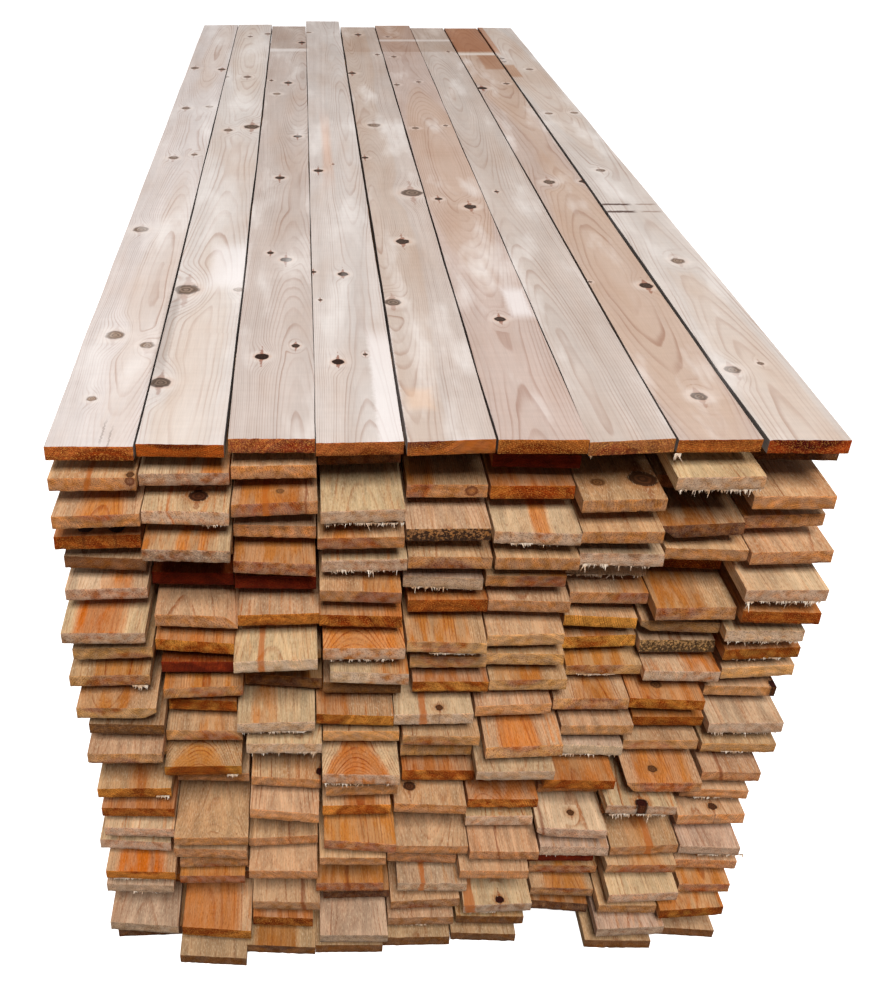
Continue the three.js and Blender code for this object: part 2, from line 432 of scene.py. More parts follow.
def addAttribute(mesh, name, values, domain="POINT"):
    # a vector of three or a colour of four numbers for each point, face or corner, or the same for all points
    values = np.asarray(values, float)
    if values.ndim == 1:
        values = np.tile(values, (len(mesh.vertices), 1))
    kind, field = ("FLOAT_VECTOR", "vector") if values.shape[1] == 3 else ("FLOAT_COLOR", "color")
    mesh.attributes.new(name, kind, domain).data.foreach_set(field, values.ravel())


facesThatWay = 0.7  # the least share of a face's normal along an axis


def facings(mesh):
    normals = np.empty(len(mesh.polygons) * 3)
    mesh.polygons.foreach_get("normal", normals)
    return normals.reshape(-1, 3)


log = {
    "period": (1300, 2100),  # mm, of its bends
    "rise": 14,  # mm
    "aside": 8,
    "pithScatter": 9,
    "archReach": 60,  # from the end, within which arches close
    "closedArch": 17,  # from which an arch is a whole round of rings, and clearer than others
    "rings": (1.9, 3.2),  # mm wide
    "length": 30000,  # mm, so that no two boards show the same stretch
}
lookNames = {
    # the numbers of the attributes that tell a board's materials what to draw
    "boardLook": ("heartRadius", "ringWidth", "seed", "fuzz"),
    "streakLook": ("resinAt", "resinHalf", "darkAt", "darkHalf"),
    "ringLook": ("endRings", "specks", "evenHeart", "faceRings"),
    "endKnot": ("knotX", "knotZ", "halfWidth", "halfHeight"),
    "endLook": ("mould", "crackAt", "crackLean", "flame"),
    "knotA": ("aside", "ahead", "radius", "darkness"),
    "knotB": ("aside", "ahead", "radius", "darkness"),
}
paintedUndersideShade = 0.5  # painted shade: the undersides of boards and laths are made darker, which deepens the shade in the gaps
nowhere = -99  # mm, the place of what a board doesn't have


def writeGrain(mesh, before, kind, rng, traits):
    # log place: where a point is in the log, in mm from the pith. Board place: from the board's lower corner
    finish, (pithX, pithZ, heart) = finishes[kind[0]], pithPlaces[kind[1]]
    endSap, endHeart, faceSap, faceHeart, fuzz, endRings, specks = finish
    halfWidth, halfThickness = boardWidth / 2, boardThickness / 2
    pithX = pithX + rng.normal(0, log["pithScatter"])
    pithZ = pithZ * rng.uniform(0.9, 1.15)
    heart = heart * rng.uniform(0.94, 1.06)
    if "band" in traits:
        # a round of heartwood that dips into the board from above between the band's sides, or from below
        left, right, depth = traits["band"]
        halfBand, deep = (right - left) / 2, abs(depth)
        heart = (halfBand**2 + deep**2) / (2 * deep)
        pithX, pithZ = (left + right) / 2 - halfWidth, math.copysign(halfThickness + heart - deep, depth)
    if "pith" in traits:
        pithX, pithZ, heart = traits["pith"]
    # the log isn't straight, so its rings cross the faces in long points
    along = before[:, 1]
    turn = along / rng.uniform(*log["period"]) * 2 * math.pi + rng.uniform(0, 6)
    rise = log["rise"] * (np.sin(turn) - np.sin(turn[0]) * ("band" in traits)) * rng.uniform(0.6, 1.2)
    aside = log["aside"] * np.sin(turn * 0.7 + 2)
    dip = traits.get("arches", 0) * np.exp(-along / log["archReach"])
    logPlace = np.stack([before[:, 0] - halfWidth - pithX - aside, along + rng.uniform(0, log["length"]),
                         before[:, 2] - halfThickness - pithZ - rise - dip], 1)
    addAttribute(mesh, "logPlace", logPlace)
    addAttribute(mesh, "boardPlace", before)
    looks = {"boardLook": (heart, rng.uniform(*log["rings"]), rng.uniform(0, 100), fuzz)}
    looks["streakLook"] = (*traits.get("streak", (nowhere, 1)), *traits.get("darkStreak", (nowhere, 1)))
    arched = traits.get("arches", 0) > log["closedArch"]
    faceRings = 1.3 if arched else rng.uniform(0.5, 0.95)
    evenHeart = traits.get("evenHeart", 0.75 if "band" in traits or arched else rng.uniform(0.1, 0.7))
    looks["ringLook"] = (endRings, specks, evenHeart, faceRings)
    looks["endKnot"] = traits.get("endKnot", (nowhere, 0, 1, 1))
    vary = traits.get("vary", 1)
    flame = max(0, rng.uniform(-0.4, 0.7)) * vary
    crackLean = rng.normal(0, 0.25)
    looks["endLook"] = (traits.get("mould", 0), traits.get("crack", nowhere), crackLean, flame)
    for name, numbers in looks.items():
        addAttribute(mesh, name, numbers)
    # the cut ends have the second material, and each face has its board's colours
    facing = facings(mesh)
    isEnd = np.abs(facing[:, 1]) > facesThatWay
    isSide = (np.abs(facing[:, 0]) > facesThatWay)[:, None]
    isUnder = (facing[:, 2] < -facesThatWay)[:, None]
    mesh.polygons.foreach_set("material_index", isEnd.astype(int))
    endSap, endHeart = traits.get("end", (endSap, endHeart))
    faceHeart = traits.get("heartFace", faceHeart)
    endTint = np.array([*traits.get("endTint", (1, 1, 1)), 1])
    tone = rng.uniform(-0.1, 0.1)
    tone = tone + np.array([0, rng.uniform(-0.02, 0.03), rng.uniform(-0.07, 0.07), 0])
    for name, onEnd, onFace in (("sapColour", endSap, faceSap), ("heartColour", endHeart, faceHeart)):
        onEnd, onFace = (np.array(linearColour(c)) for c in (onEnd, onFace))
        # sides made darker where a board asks for it: painted shade in the gaps between boards
        onFaces = np.where(isSide, onFace * traits.get("paintedSideShade", 1), onFace) * (1 + vary * tone)
        # undersides made darker: painted shade
        onFaces = np.where(isUnder, onFaces * paintedUndersideShade, onFaces)
        onEnd = onEnd * (1 + vary * tone) * endTint
        addAttribute(mesh, name, np.where(isEnd[:, None], onEnd, onFaces), "FACE")


noKnot = (50.0, 50.0, 1.0, 0.0)  # one that is 50 radii off


def writeKnots(mesh, before, knots):
    # the knots along a board are dealt out in turn to two attributes, and each face holds the nearest of
    # each: how far off it is in radii, its radius and its darkness
    corners = np.empty(len(mesh.loops), int)
    mesh.loops.foreach_get("vertex_index", corners)
    centres = np.array([before[list(face.vertices)].mean(0) for face in mesh.polygons])
    faceOf = np.repeat(np.arange(len(mesh.polygons)), [face.loop_total for face in mesh.polygons])
    ordered = sorted(knots, key=lambda k: k[1])
    for name, own in (("knotA", ordered[0::2]), ("knotB", ordered[1::2])):
        values = np.tile(noKnot, (len(corners), 1))
        if own:
            table = np.array(own, float)
            away = np.hypot(centres[:, None, 0] - table[None, :, 0], centres[:, None, 1] - table[None, :, 1])
            nearest = table[(away / table[None, :, 2]).argmin(1)][faceOf]
            reach = (before[corners, :2] - nearest[:, :2]) / nearest[:, 2:3]
            values = np.concatenate([reach, nearest[:, 2:4]], 1)
        addAttribute(mesh, name, values, "CORNER")


def joinPieces(name, parts, materials):
    # the parts get the materials first, so that their faces keep their own
    deselectAll()
    for part in parts:
        part.select_set(True)
        for material in materials:
            part.data.materials.append(material)
    bpy.context.view_layer.objects.active = parts[0]
    bpy.ops.object.join()
    piece = bpy.context.object
    piece.name = name
    piece.data.name = name
    return piece


# torn fibres that hang from the lower edge of a saw cut
print("splinters")
splinter = {"count": 110, "width": 2.2, "thickness": 0.9, "spacing": 1}  # mm, but for the count
tornFibreSlot = 2  # its place among a piece's materials


def modelSplinters():
    # one thin wedge, pointing down, in a row
    deselectAll()
    bpy.ops.mesh.primitive_cone_add(vertices=4, radius1=0.7 * mm, radius2=0.12 * mm, depth=1 * mm,
                                    end_fill_type="NGON", rotation=(math.pi, 0, math.radians(45)))
    blank = bpy.context.object
    blank.name = "splinter_blank"
    bpy.ops.object.transform_apply(location=True, rotation=True, scale=True)
    bpy.ops.object.mode_set(mode="EDIT")
    bpy.ops.mesh.select_all(action="SELECT")
    bpy.ops.transform.resize(value=(splinter["width"], splinter["thickness"], 1))
    bpy.ops.transform.translate(value=(0, 0, -0.5 * mm))
    bpy.ops.object.mode_set(mode="OBJECT")
    row = blank.modifiers.new("row", "ARRAY")
    row.count = splinter["count"]
    row.use_relative_offset = False
    row.use_constant_offset = True
    row.constant_offset_displace = (splinter["spacing"] * mm, 0, 0)
    bpy.ops.object.modifier_apply(modifier=row.name)
    return blank


splinterBlank = modelSplinters()


def hangSplinters(name, place, fringe, rng):
    # spreads a copy of the row along the fringe, each splinter with its own length, lean and width
    size, left, right = fringe
    piece, points = copyBlank(splinterBlank, name)
    count = splinter["count"]
    own = np.arange(len(points)) // (len(points) // count)
    middle = own * splinter["spacing"]
    down = -points[:, 2]
    ragged = 0.75 + smoothNoise(rng, np.arange(count) * 20.0, 90, 0.35)
    lengths = np.clip(rng.gamma(3, size / 5.5, count) * ragged, 0.5, size * 1.6)
    places = np.sort(rng.uniform(left, right, count))
    lean, forward = rng.normal(0, 0.35, count), rng.normal(0.1, 0.3, count)
    width = rng.uniform(0.4, 1.1, count)
    x = places[own] + (points[:, 0] - middle) * width[own] + down * lean[own] * lengths[own]
    y = points[:, 1] + 0.9 - down * forward[own] * lengths[own]
    z = 1.2 - down * (lengths[own] + 1.2)
    movePoints(piece.data, np.stack([x + place["left"], y + place["front"], z + place["bottom"]], 1))
    piece.data.polygons.foreach_set("material_index", np.full(len(piece.data.polygons), tornFibreSlot))
    return piece


# materials
def addNode(tree, kind, inputs=None, **settings):
    # adds a shader node; an input is a value, a socket, or a node whose first output is meant. A MapRange's
    # inputs 1 and 2 are the range that comes in, and 3 and 4 are what its ends become
    node = tree.nodes.new("ShaderNode" + kind)
    for name, value in settings.items():
        setattr(node, name, value)
    for name, value in (inputs or {}).items():
        if isinstance(value, bpy.types.Node):
            value = value.outputs[0]
        if isinstance(value, bpy.types.NodeSocket):
            tree.links.new(value, node.inputs[name])
        else:
            node.inputs[name].default_value = value
    return node


smooth = {"interpolation_type": "SMOOTHSTEP"}


def perMm(size):
    # what a place in mm is multiplied by, so that a noise's blotches have this size along x, y and z
    return [1 / s for s in size]


def readLooks(tree, *attributes):
    # the numbers that were written for each board, as sockets by their names
    looks = {}
    for attribute in attributes:
        outputs = addNode(tree, "Attribute", attribute_name=attribute).outputs
        parts = addNode(tree, "SeparateXYZ", {0: outputs["Vector"]}).outputs
        looks.update(zip(lookNames[attribute], [*parts, outputs["Alpha"]]))
    return looks


grain = {
    # bends of the rings, as (size along x, y and z, depth), in mm
    "bends": (((150, 700, 150), 8), ((34, 200, 34), 3.2), ((9, 75, 9), 0.6)),
    "streaks": (5, 90, 5),  # mm
    "fibres": (1.1, 45, 1.1),
    "knotStretch": 0.45,  # how short a knot's reach along the board is drawn, so that fibres flow round it
    "knotPush": -1.2,
    "spikeAside": 1.6,  # radii off a knot, to its side and before it, that count as one
    "spikeAhead": 0.27,
    "knotRings": 15,  # radians to a knot's radius
}


def addKnot(tree, name):
    # one knot's effects: how it pushes fibres aside and lifts rings, how far off it and its spike are
    u, v, radius, dark = readLooks(tree, name).values()
    own = addNode(tree, "CombineXYZ", {0: u, 1: v, 2: radius})
    rough = addNode(tree, "TexNoise", {"Vector": own, "Scale": 1.2, "Detail": 2})
    rough = addNode(tree, "Math", {0: rough, 1: -0.5}, operation="ADD")
    # fibres flow round a knot, as water does round a post
    vPart = addNode(tree, "Math", {0: v, 1: grain["knotStretch"]}, operation="MULTIPLY")
    uSquare = addNode(tree, "Math", {0: u, 1: u}, operation="MULTIPLY")
    spread = addNode(tree, "Math", {0: vPart, 1: vPart, 2: uSquare}, operation="MULTIPLY_ADD")
    spread = addNode(tree, "Math", {0: spread, 1: 0.45}, operation="ADD")
    push = addNode(tree, "Math", {0: u, 1: radius}, operation="MULTIPLY")
    push = addNode(tree, "Math", {0: push, 1: grain["knotPush"]}, operation="MULTIPLY")
    push = addNode(tree, "Math", {0: push, 1: spread}, operation="DIVIDE")
    # and the rings climb round the branch
    stretched = addNode(tree, "CombineXYZ", {0: u, 1: vPart})
    stretched = addNode(tree, "VectorMath", {0: stretched}, operation="LENGTH").outputs["Value"]
    rise = addNode(tree, "MapRange", {0: stretched, 1: 0.4, 2: 3.4, 3: 0.7, 4: 0},
                   interpolation_type="SMOOTHERSTEP")
    rise = addNode(tree, "Math", {0: rise, 1: radius}, operation="MULTIPLY")
    flat = addNode(tree, "CombineXYZ", {0: u, 1: v})
    away = addNode(tree, "VectorMath", {0: flat}, operation="LENGTH").outputs["Value"]
    away = addNode(tree, "Math", {0: rough, 1: 0.6, 2: away}, operation="MULTIPLY_ADD")
    # spikes of resin-soaked fibres before and behind it
    aside = addNode(tree, "Math", {0: u}, operation="ABSOLUTE")
    aside = addNode(tree, "Math", {0: aside, 1: grain["spikeAside"]}, operation="MULTIPLY")
    ahead = addNode(tree, "Math", {0: v}, operation="ABSOLUTE")
    spike = addNode(tree, "Math", {0: ahead, 1: grain["spikeAhead"], 2: aside}, operation="MULTIPLY_ADD")
    spike = addNode(tree, "Math", {0: rough, 1: 1.6, 2: spike}, operation="MULTIPLY_ADD")
    return push, rise, away, spike, dark


def makeGrainGroup():
    # growth rings, heartwood, fibres and knots, shared by every cut through the log
    tree = bpy.data.node_groups.new("pineGrain", "ShaderNodeTree")
    own = readLooks(tree, "boardLook")
    place = addNode(tree, "Attribute", attribute_name="logPlace").outputs["Vector"]
    x, y, z = addNode(tree, "SeparateXYZ", {0: place}).outputs
    (pushA, riseA, awayA, spikeA, darkA), (pushB, riseB, awayB, spikeB, darkB) = (
        addKnot(tree, name) for name in ("knotA", "knotB"))
    x = addNode(tree, "Math", {0: x, 1: pushA}, operation="ADD")
    x = addNode(tree, "Math", {0: x, 1: pushB}, operation="ADD")
    climb = addNode(tree, "Math", {0: riseB, 1: riseA}, operation="ADD")
    nearer = addNode(tree, "Math", {0: awayA, 1: awayB}, operation="MINIMUM")
    spike = addNode(tree, "Math", {0: spikeA, 1: spikeB}, operation="MINIMUM")
    firstNearer = addNode(tree, "Math", {0: awayA, 1: awayB}, operation="LESS_THAN")
    darkness = addNode(tree, "Mix", {0: firstNearer, 2: darkB, 3: darkA})
    # the rings: how far from the pith a point is, bent at three sizes, and the share of its year
    bent = addNode(tree, "CombineXYZ", {0: x, 1: y, 2: z})
    flatBent = addNode(tree, "VectorMath", {0: bent, 1: (1, 0, 1)}, operation="MULTIPLY")
    distance = addNode(tree, "VectorMath", {0: flatBent}, operation="LENGTH").outputs["Value"]
    distance = addNode(tree, "Math", {0: distance, 1: climb}, operation="ADD")
    for size, depth in grain["bends"]:
        bend = addNode(tree, "VectorMath", {0: bent, 1: perMm(size)}, operation="MULTIPLY")
        bend = addNode(tree, "TexNoise", {"Vector": bend, "Scale": 1, "Detail": 1})
        bend = addNode(tree, "Math", {0: bend, 1: -0.5}, operation="ADD")
        distance = addNode(tree, "Math", {0: bend, 1: depth, 2: distance}, operation="MULTIPLY_ADD")
    turns = addNode(tree, "Math", {0: distance, 1: own["ringWidth"]}, operation="DIVIDE")
    year = addNode(tree, "Math", {0: turns}, operation="FRACT")
    swell = addNode(tree, "MapRange", {0: year, 1: 0.5, 2: 0.88}, **smooth)
    stop = addNode(tree, "MapRange", {0: year, 1: 0.89, 2: 0.99, 3: 1, 4: 0}, **smooth)
    latewood = addNode(tree, "Math", {0: swell, 1: stop}, operation="MULTIPLY")
    # good and bad years, singly and in runs
    wholeYear = addNode(tree, "Math", {0: turns, 1: 0.55}, operation="MULTIPLY")
    strength = addNode(tree, "TexNoise", {"W": wholeYear, "Scale": 1, "Detail": 1}, noise_dimensions="1D")
    strength = addNode(tree, "MapRange", {0: strength, 1: 0.3, 2: 0.7, 3: 0.2, 4: 1.0})
    latewood = addNode(tree, "Math", {0: latewood, 1: strength}, operation="MULTIPLY")
    decade = addNode(tree, "Math", {0: turns, 1: 0.24}, operation="MULTIPLY")
    broad = addNode(tree, "TexNoise", {"W": decade, "Scale": 1, "Detail": 0}, noise_dimensions="1D")
    # heartwood with a ragged edge, resin that follows the streaks, and fibres
    streaks = addNode(tree, "VectorMath", {0: bent, 1: perMm(grain["streaks"])}, operation="MULTIPLY")
    streaks = addNode(tree, "TexNoise", {"Vector": streaks, "Scale": 1, "Detail": 2})
    ragged = addNode(tree, "Math", {0: streaks, 1: 7, 2: distance}, operation="MULTIPLY_ADD")
    ragged = addNode(tree, "Math", {0: ragged, 1: own["heartRadius"]}, operation="SUBTRACT")
    flame = addNode(tree, "MapRange", {0: streaks, 1: 0.5, 2: 0.68, 3: 0, 4: 1}, **smooth)
    fibres = addNode(tree, "VectorMath", {0: bent, 1: perMm(grain["fibres"])}, operation="MULTIPLY")
    fibres = addNode(tree, "TexNoise", {"Vector": fibres, "Scale": 1, "Detail": 3})
    rimAway = addNode(tree, "Math", {0: nearer, 1: 1.0}, operation="SUBTRACT")
    rimAway = addNode(tree, "Math", {0: rimAway}, operation="ABSOLUTE")
    halo = addNode(tree, "MapRange", {0: nearer, 1: 1, 2: 3.2, 3: 1, 4: 0}, interpolation_type="SMOOTHERSTEP")
    inner = addNode(tree, "Math", {0: nearer, 1: grain["knotRings"]}, operation="MULTIPLY")
    inner = addNode(tree, "Math", {0: inner}, operation="SINE")
    ends = {"latewood": latewood, "fibre": fibres, "dark": darkness, "halo": halo, "inner": inner,
            "flame": flame, "broad": broad}
    # what fades out from one distance to another, and its share up to there: heartwood at its edge, a knot's
    # wood, its bark, its spikes of resin and the rust round it
    for name, distance, near, far, share in (
        ("heart", ragged, 0.5, 8.0, 1),
        ("knot", nearer, 0.9, 1.04, 1),
        ("rim", rimAway, 0.04, 0.2, 1),
        ("spike", spike, 0.75, 1.15, 1),
        ("rust", nearer, 1, 1.9, 0.55),
    ):
        ends[name] = addNode(tree, "MapRange", {0: distance, 1: near, 2: far, 3: share, 4: 0}, **smooth)
    for name in ends:
        tree.interface.new_socket(name, in_out="OUTPUT", socket_type="NodeSocketFloat")
    groupEnd = tree.nodes.new("NodeGroupOutput")
    for name, node in ends.items():
        tree.links.new(node.outputs[0], groupEnd.inputs[name])
    return tree


grainGroup = makeGrainGroup()


def startMaterial(name, roughness):
    material = bpy.data.materials.new(name)
    material.use_nodes = True
    tree = material.node_tree
    shader = tree.nodes["Principled BSDF"]
    shader.inputs["Roughness"].default_value = roughness
    shader.inputs["IOR"].default_value = 1.45
    shader.inputs["Specular IOR Level"].default_value = 0.12  # sawn wood has hardly any gloss
    return material, tree, shader


barkTint = "#24120a"


def grainColour(tree, look, ringShare):
    # sapwood and heartwood in feathered patches, darker rings, fibres, and knots with their bark and resin
    pine = addNode(tree, "Group", node_tree=grainGroup).outputs
    place = addNode(tree, "Attribute", attribute_name="logPlace").outputs["Vector"]
    cloud = addNode(tree, "VectorMath", {0: place, 1: perMm(look["cloud"])}, operation="MULTIPLY")
    cloud = addNode(tree, "TexNoise", {"Vector": cloud, "Scale": 1, "Detail": 3})
    cloud = addNode(tree, "SeparateXYZ", {0: cloud.outputs["Color"]})
    resinCloud, ringCloud, toneCloud = cloud.outputs
    sap = addNode(tree, "Attribute", attribute_name="sapColour").outputs["Color"]
    heart = addNode(tree, "Attribute", attribute_name="heartColour").outputs["Color"]
    own = readLooks(tree, "endLook", "ringLook")
    resin = addNode(tree, "Math", {0: pine["flame"], 1: own["flame"]}, operation="MULTIPLY")
    patchy = addNode(tree, "MapRange", {0: resinCloud, 1: 0.4, 2: 0.58, 3: own["evenHeart"], 4: 1.0})
    patchy = addNode(tree, "Math", {0: patchy, 1: pine["heart"]}, operation="MULTIPLY")
    resin = addNode(tree, "Math", {0: patchy, 1: resin}, operation="MAXIMUM")
    depth = look["tone"]
    pale = addNode(tree, "MapRange", {0: toneCloud, 1: 0.38, 2: 0.62, 3: 1 - depth, 4: 1 + depth})
    sap = addNode(tree, "VectorMath", {0: sap, "Scale": pale}, operation="SCALE")
    colour = addNode(tree, "MixRGB", {0: resin, 1: sap, 2: heart})
    ring = addNode(tree, "MapRange", {0: ringCloud, 1: 0.38, 2: 0.6, 3: 0.25, 4: 1.0})
    ring = addNode(tree, "Math", {0: ring, 1: pine["latewood"]}, operation="MULTIPLY")
    ring = addNode(tree, "Math", {0: ring, 1: ringShare}, operation="MULTIPLY")
    ringTint = linearColour(look["ringTint"])
    colour = addNode(tree, "MixRGB", {0: ring, 1: colour, 2: ringTint}, blend_type="MULTIPLY")
    for name, low, high in (("fibre", 0.3, 0.7), ("broad", 0.25, 0.75)):
        depth = look[name]
        shade = addNode(tree, "MapRange", {0: pine[name], 1: low, 2: high, 3: 1 - depth, 4: 1 + depth})
        colour = addNode(tree, "VectorMath", {0: colour, "Scale": shade}, operation="SCALE")
    halo = addNode(tree, "Math", {0: pine["halo"], 1: look["haloShare"]}, operation="MULTIPLY")
    rust = addNode(tree, "Math", {0: pine["rust"], 1: pine["dark"]}, operation="MULTIPLY")
    spike = addNode(tree, "Math", {0: pine["spike"], 1: pine["dark"]}, operation="MULTIPLY")
    spike = addNode(tree, "Math", {0: spike, 1: 0.75}, operation="MULTIPLY")
    for share, tint in ((halo, "haloTint"), (rust, "rustTint"), (spike, "spikeTint")):
        colour = addNode(tree, "MixRGB", {0: share, 1: colour, 2: linearColour(look[tint])})
    paleKnot, darkKnot = linearColour(look["knotTint"]), linearColour(look["darkKnotTint"])
    knotColour = addNode(tree, "MixRGB", {0: pine["dark"], 1: paleKnot, 2: darkKnot})
    inner = addNode(tree, "MapRange", {0: pine["inner"], 1: -1, 2: 1, 3: 0.6, 4: 1.35})
    knotColour = addNode(tree, "VectorMath", {0: knotColour, "Scale": inner}, operation="SCALE")
    colour = addNode(tree, "MixRGB", {0: pine["knot"], 1: colour, 2: knotColour})
    bark = addNode(tree, "MapRange", {0: pine["dark"], 3: 0.3, 4: 0.95})
    bark = addNode(tree, "Math", {0: pine["rim"], 1: bark}, operation="MULTIPLY")
    colour = addNode(tree, "MixRGB", {0: bark, 1: colour, 2: linearColour(barkTint)})
    return pine, colour


def finishMaterial(tree, shader, colour, height, depth):
    # its colour, and its relief with a depth in mm
    relief = addNode(tree, "Bump", {"Height": height, "Distance": depth * mm, "Strength": 1})
    tree.links.new(colour.outputs[0], shader.inputs["Base Color"])
    tree.links.new(relief.outputs[0], shader.inputs["Normal"])


streak = {  # mm
    "winding": (9, 38, 9),  # size of the bends of streaks and cracks along x, y and z
    "windingDepth": 7,
    "fringing": (1.2, 26, 1.2),  # size of the fibres that their sides follow
    "crackReach": (30, 60),  # from the end, between which a crack closes
}


def addStreaks(tree, colour):
    # bands of resin and of dark wood along a board, and the crack that starts at its end
    place = addNode(tree, "Attribute", attribute_name="boardPlace").outputs["Vector"]
    x, y, z = addNode(tree, "SeparateXYZ", {0: place}).outputs
    own = readLooks(tree, "streakLook", "endLook")
    slanted = addNode(tree, "Math", {0: z, 1: own["crackLean"], 2: x}, operation="MULTIPLY_ADD")
    winding = addNode(tree, "VectorMath", {0: place, 1: perMm(streak["winding"])}, operation="MULTIPLY")
    winding = addNode(tree, "TexNoise", {"Vector": winding, "Scale": 1, "Detail": 2})
    depth = streak["windingDepth"]
    slanted = addNode(tree, "Math", {0: winding, 1: depth, 2: slanted}, operation="MULTIPLY_ADD")
    slanted = addNode(tree, "Math", {0: slanted, 1: -depth / 2}, operation="ADD")
    fine = addNode(tree, "VectorMath", {0: place, 1: perMm(streak["fringing"])}, operation="MULTIPLY")
    fine = addNode(tree, "TexNoise", {"Vector": fine, "Scale": 1, "Detail": 2})
    # where it is, half its width, and how ragged and how soft its sides are, in mm, its colour and its share
    for at, half, ragged, soft, tint, share in (
        ("resinAt", own["resinHalf"], 4.5, 3.6, "#b9611c", 0.75),
        ("darkAt", own["darkHalf"], 4.5, 3.6, "#7e3a18", 0.7),
        ("crackAt", -0.4, 2, 1.4, "#1e0f07", 0.9),
    ):
        away = addNode(tree, "Math", {0: slanted, 1: own[at]}, operation="SUBTRACT")
        away = addNode(tree, "Math", {0: away}, operation="ABSOLUTE")
        away = addNode(tree, "Math", {0: away, 1: half}, operation="SUBTRACT")
        away = addNode(tree, "Math", {0: fine, 1: ragged, 2: away}, operation="MULTIPLY_ADD")
        mask = addNode(tree, "MapRange", {0: away, 1: 0.6, 2: soft, 3: share, 4: 0}, **smooth)
        if at == "crackAt":
            near, far = streak["crackReach"]
            ends = addNode(tree, "MapRange", {0: y, 1: near, 2: far, 3: 1, 4: 0})
            mask = addNode(tree, "Math", {0: mask, 1: ends}, operation="MULTIPLY")
        colour = addNode(tree, "MixRGB", {0: mask, 1: colour, 2: linearColour(tint)})
    return colour


sawnLook = {
    "ringTint": "#c28447",
    "fibre": 0.16,  # how much lighter and darker single fibres are
    "broad": 0.08,  # and runs of years
    "cloud": (13, 75, 13),  # mm, size of the patches in which heartwood, rings and tone vary
    "tone": 0.15,  # how much lighter and darker sapwood is in such patches
    "haloTint": "#b47c48",  # wood round a knot
    "haloShare": 0.45,
    "rustTint": "#9c5a26",
    "spikeTint": "#8c4a22",
    "knotTint": "#8e6038",
    "darkKnotTint": "#34120a",
    "patches": (55, 140, 55),  # mm
    "patchTint": "#d9a878",  # weathered patches
    "hair": (1.3, 6, 1.3),  # mm
    "hairTint": "#e2c8a6",  # tufts that the saw left
    "nickTint": "#a8683a",
}


def makeSawnPine():
    # band-sawn pine, dried in the air: a matt, slightly hairy surface on which resin bands show orange
    material, tree, shader = startMaterial("sawnPine", 0.85)
    faceRings = addNode(tree, "Attribute", attribute_name="ringLook").outputs["Alpha"]
    pine, colour = grainColour(tree, sawnLook, faceRings)
    place = addNode(tree, "Attribute", attribute_name="logPlace").outputs["Vector"]
    patch = addNode(tree, "VectorMath", {0: place, 1: perMm(sawnLook["patches"])}, operation="MULTIPLY")
    patch = addNode(tree, "TexNoise", {"Vector": patch, "Scale": 1, "Detail": 3})
    patch = addNode(tree, "MapRange", {0: patch, 1: 0.48, 2: 0.75, 3: 0, 4: 0.4})
    patchTint = linearColour(sawnLook["patchTint"])
    colour = addNode(tree, "MixRGB", {0: patch, 1: colour, 2: patchTint}, blend_type="MULTIPLY")
    hair = addNode(tree, "VectorMath", {0: place, 1: perMm(sawnLook["hair"])}, operation="MULTIPLY")
    hair = addNode(tree, "TexNoise", {"Vector": hair, "Scale": 1, "Detail": 2})
    tuft = addNode(tree, "MapRange", {0: hair, 1: 0.55, 2: 0.7, 3: 0, 4: 0.5})
    clear = addNode(tree, "Math", {0: pine["heart"], 1: 0.75, 2: pine["knot"]}, operation="MULTIPLY_ADD")
    clear = addNode(tree, "Math", {0: 1.0, 1: clear}, operation="SUBTRACT", use_clamp=True)
    tuft = addNode(tree, "Math", {0: tuft, 1: clear}, operation="MULTIPLY")
    colour = addNode(tree, "MixRGB", {0: tuft, 1: colour, 2: linearColour(sawnLook["hairTint"])})
    nick = addNode(tree, "MapRange", {0: hair, 1: 0.42, 2: 0.3, 3: 0, 4: 0.4})
    nickTint = linearColour(sawnLook["nickTint"])
    colour = addNode(tree, "MixRGB", {0: nick, 1: colour, 2: nickTint}, blend_type="MULTIPLY")
    colour = addStreaks(tree, colour)
    height = addNode(tree, "Math", {0: pine["latewood"], 1: 0.3, 2: hair}, operation="MULTIPLY_ADD")
    height = addNode(tree, "Math", {0: pine["fibre"], 1: 1.0, 2: height}, operation="MULTIPLY_ADD")
    finishMaterial(tree, shader, colour, height, 0.4)
    return material


weatheredLook = {
    "ringTint": "#b98c72",
    "ringShare": 0.55,
    "fibre": 0.04,
    "broad": 0.03,
    "cloud": (40, 260, 40),
    "tone": 0.04,
    "haloTint": "#f0e4da",
    "haloShare": 0.4,
    "rustTint": "#c79c80",
    "spikeTint": "#8a4a2a",
    "knotTint": "#a58d7b",
    "darkKnotTint": "#2c1a12",
    "patches": (60, 260, 60),  # mm
    "tanTint": "#dfc6b0",
    "paleTint": "#f6efe9",
    "planerBands": (80, 7, 80),  # mm
    "markBlur": 6,  # mm that the marks' outlines wander
}


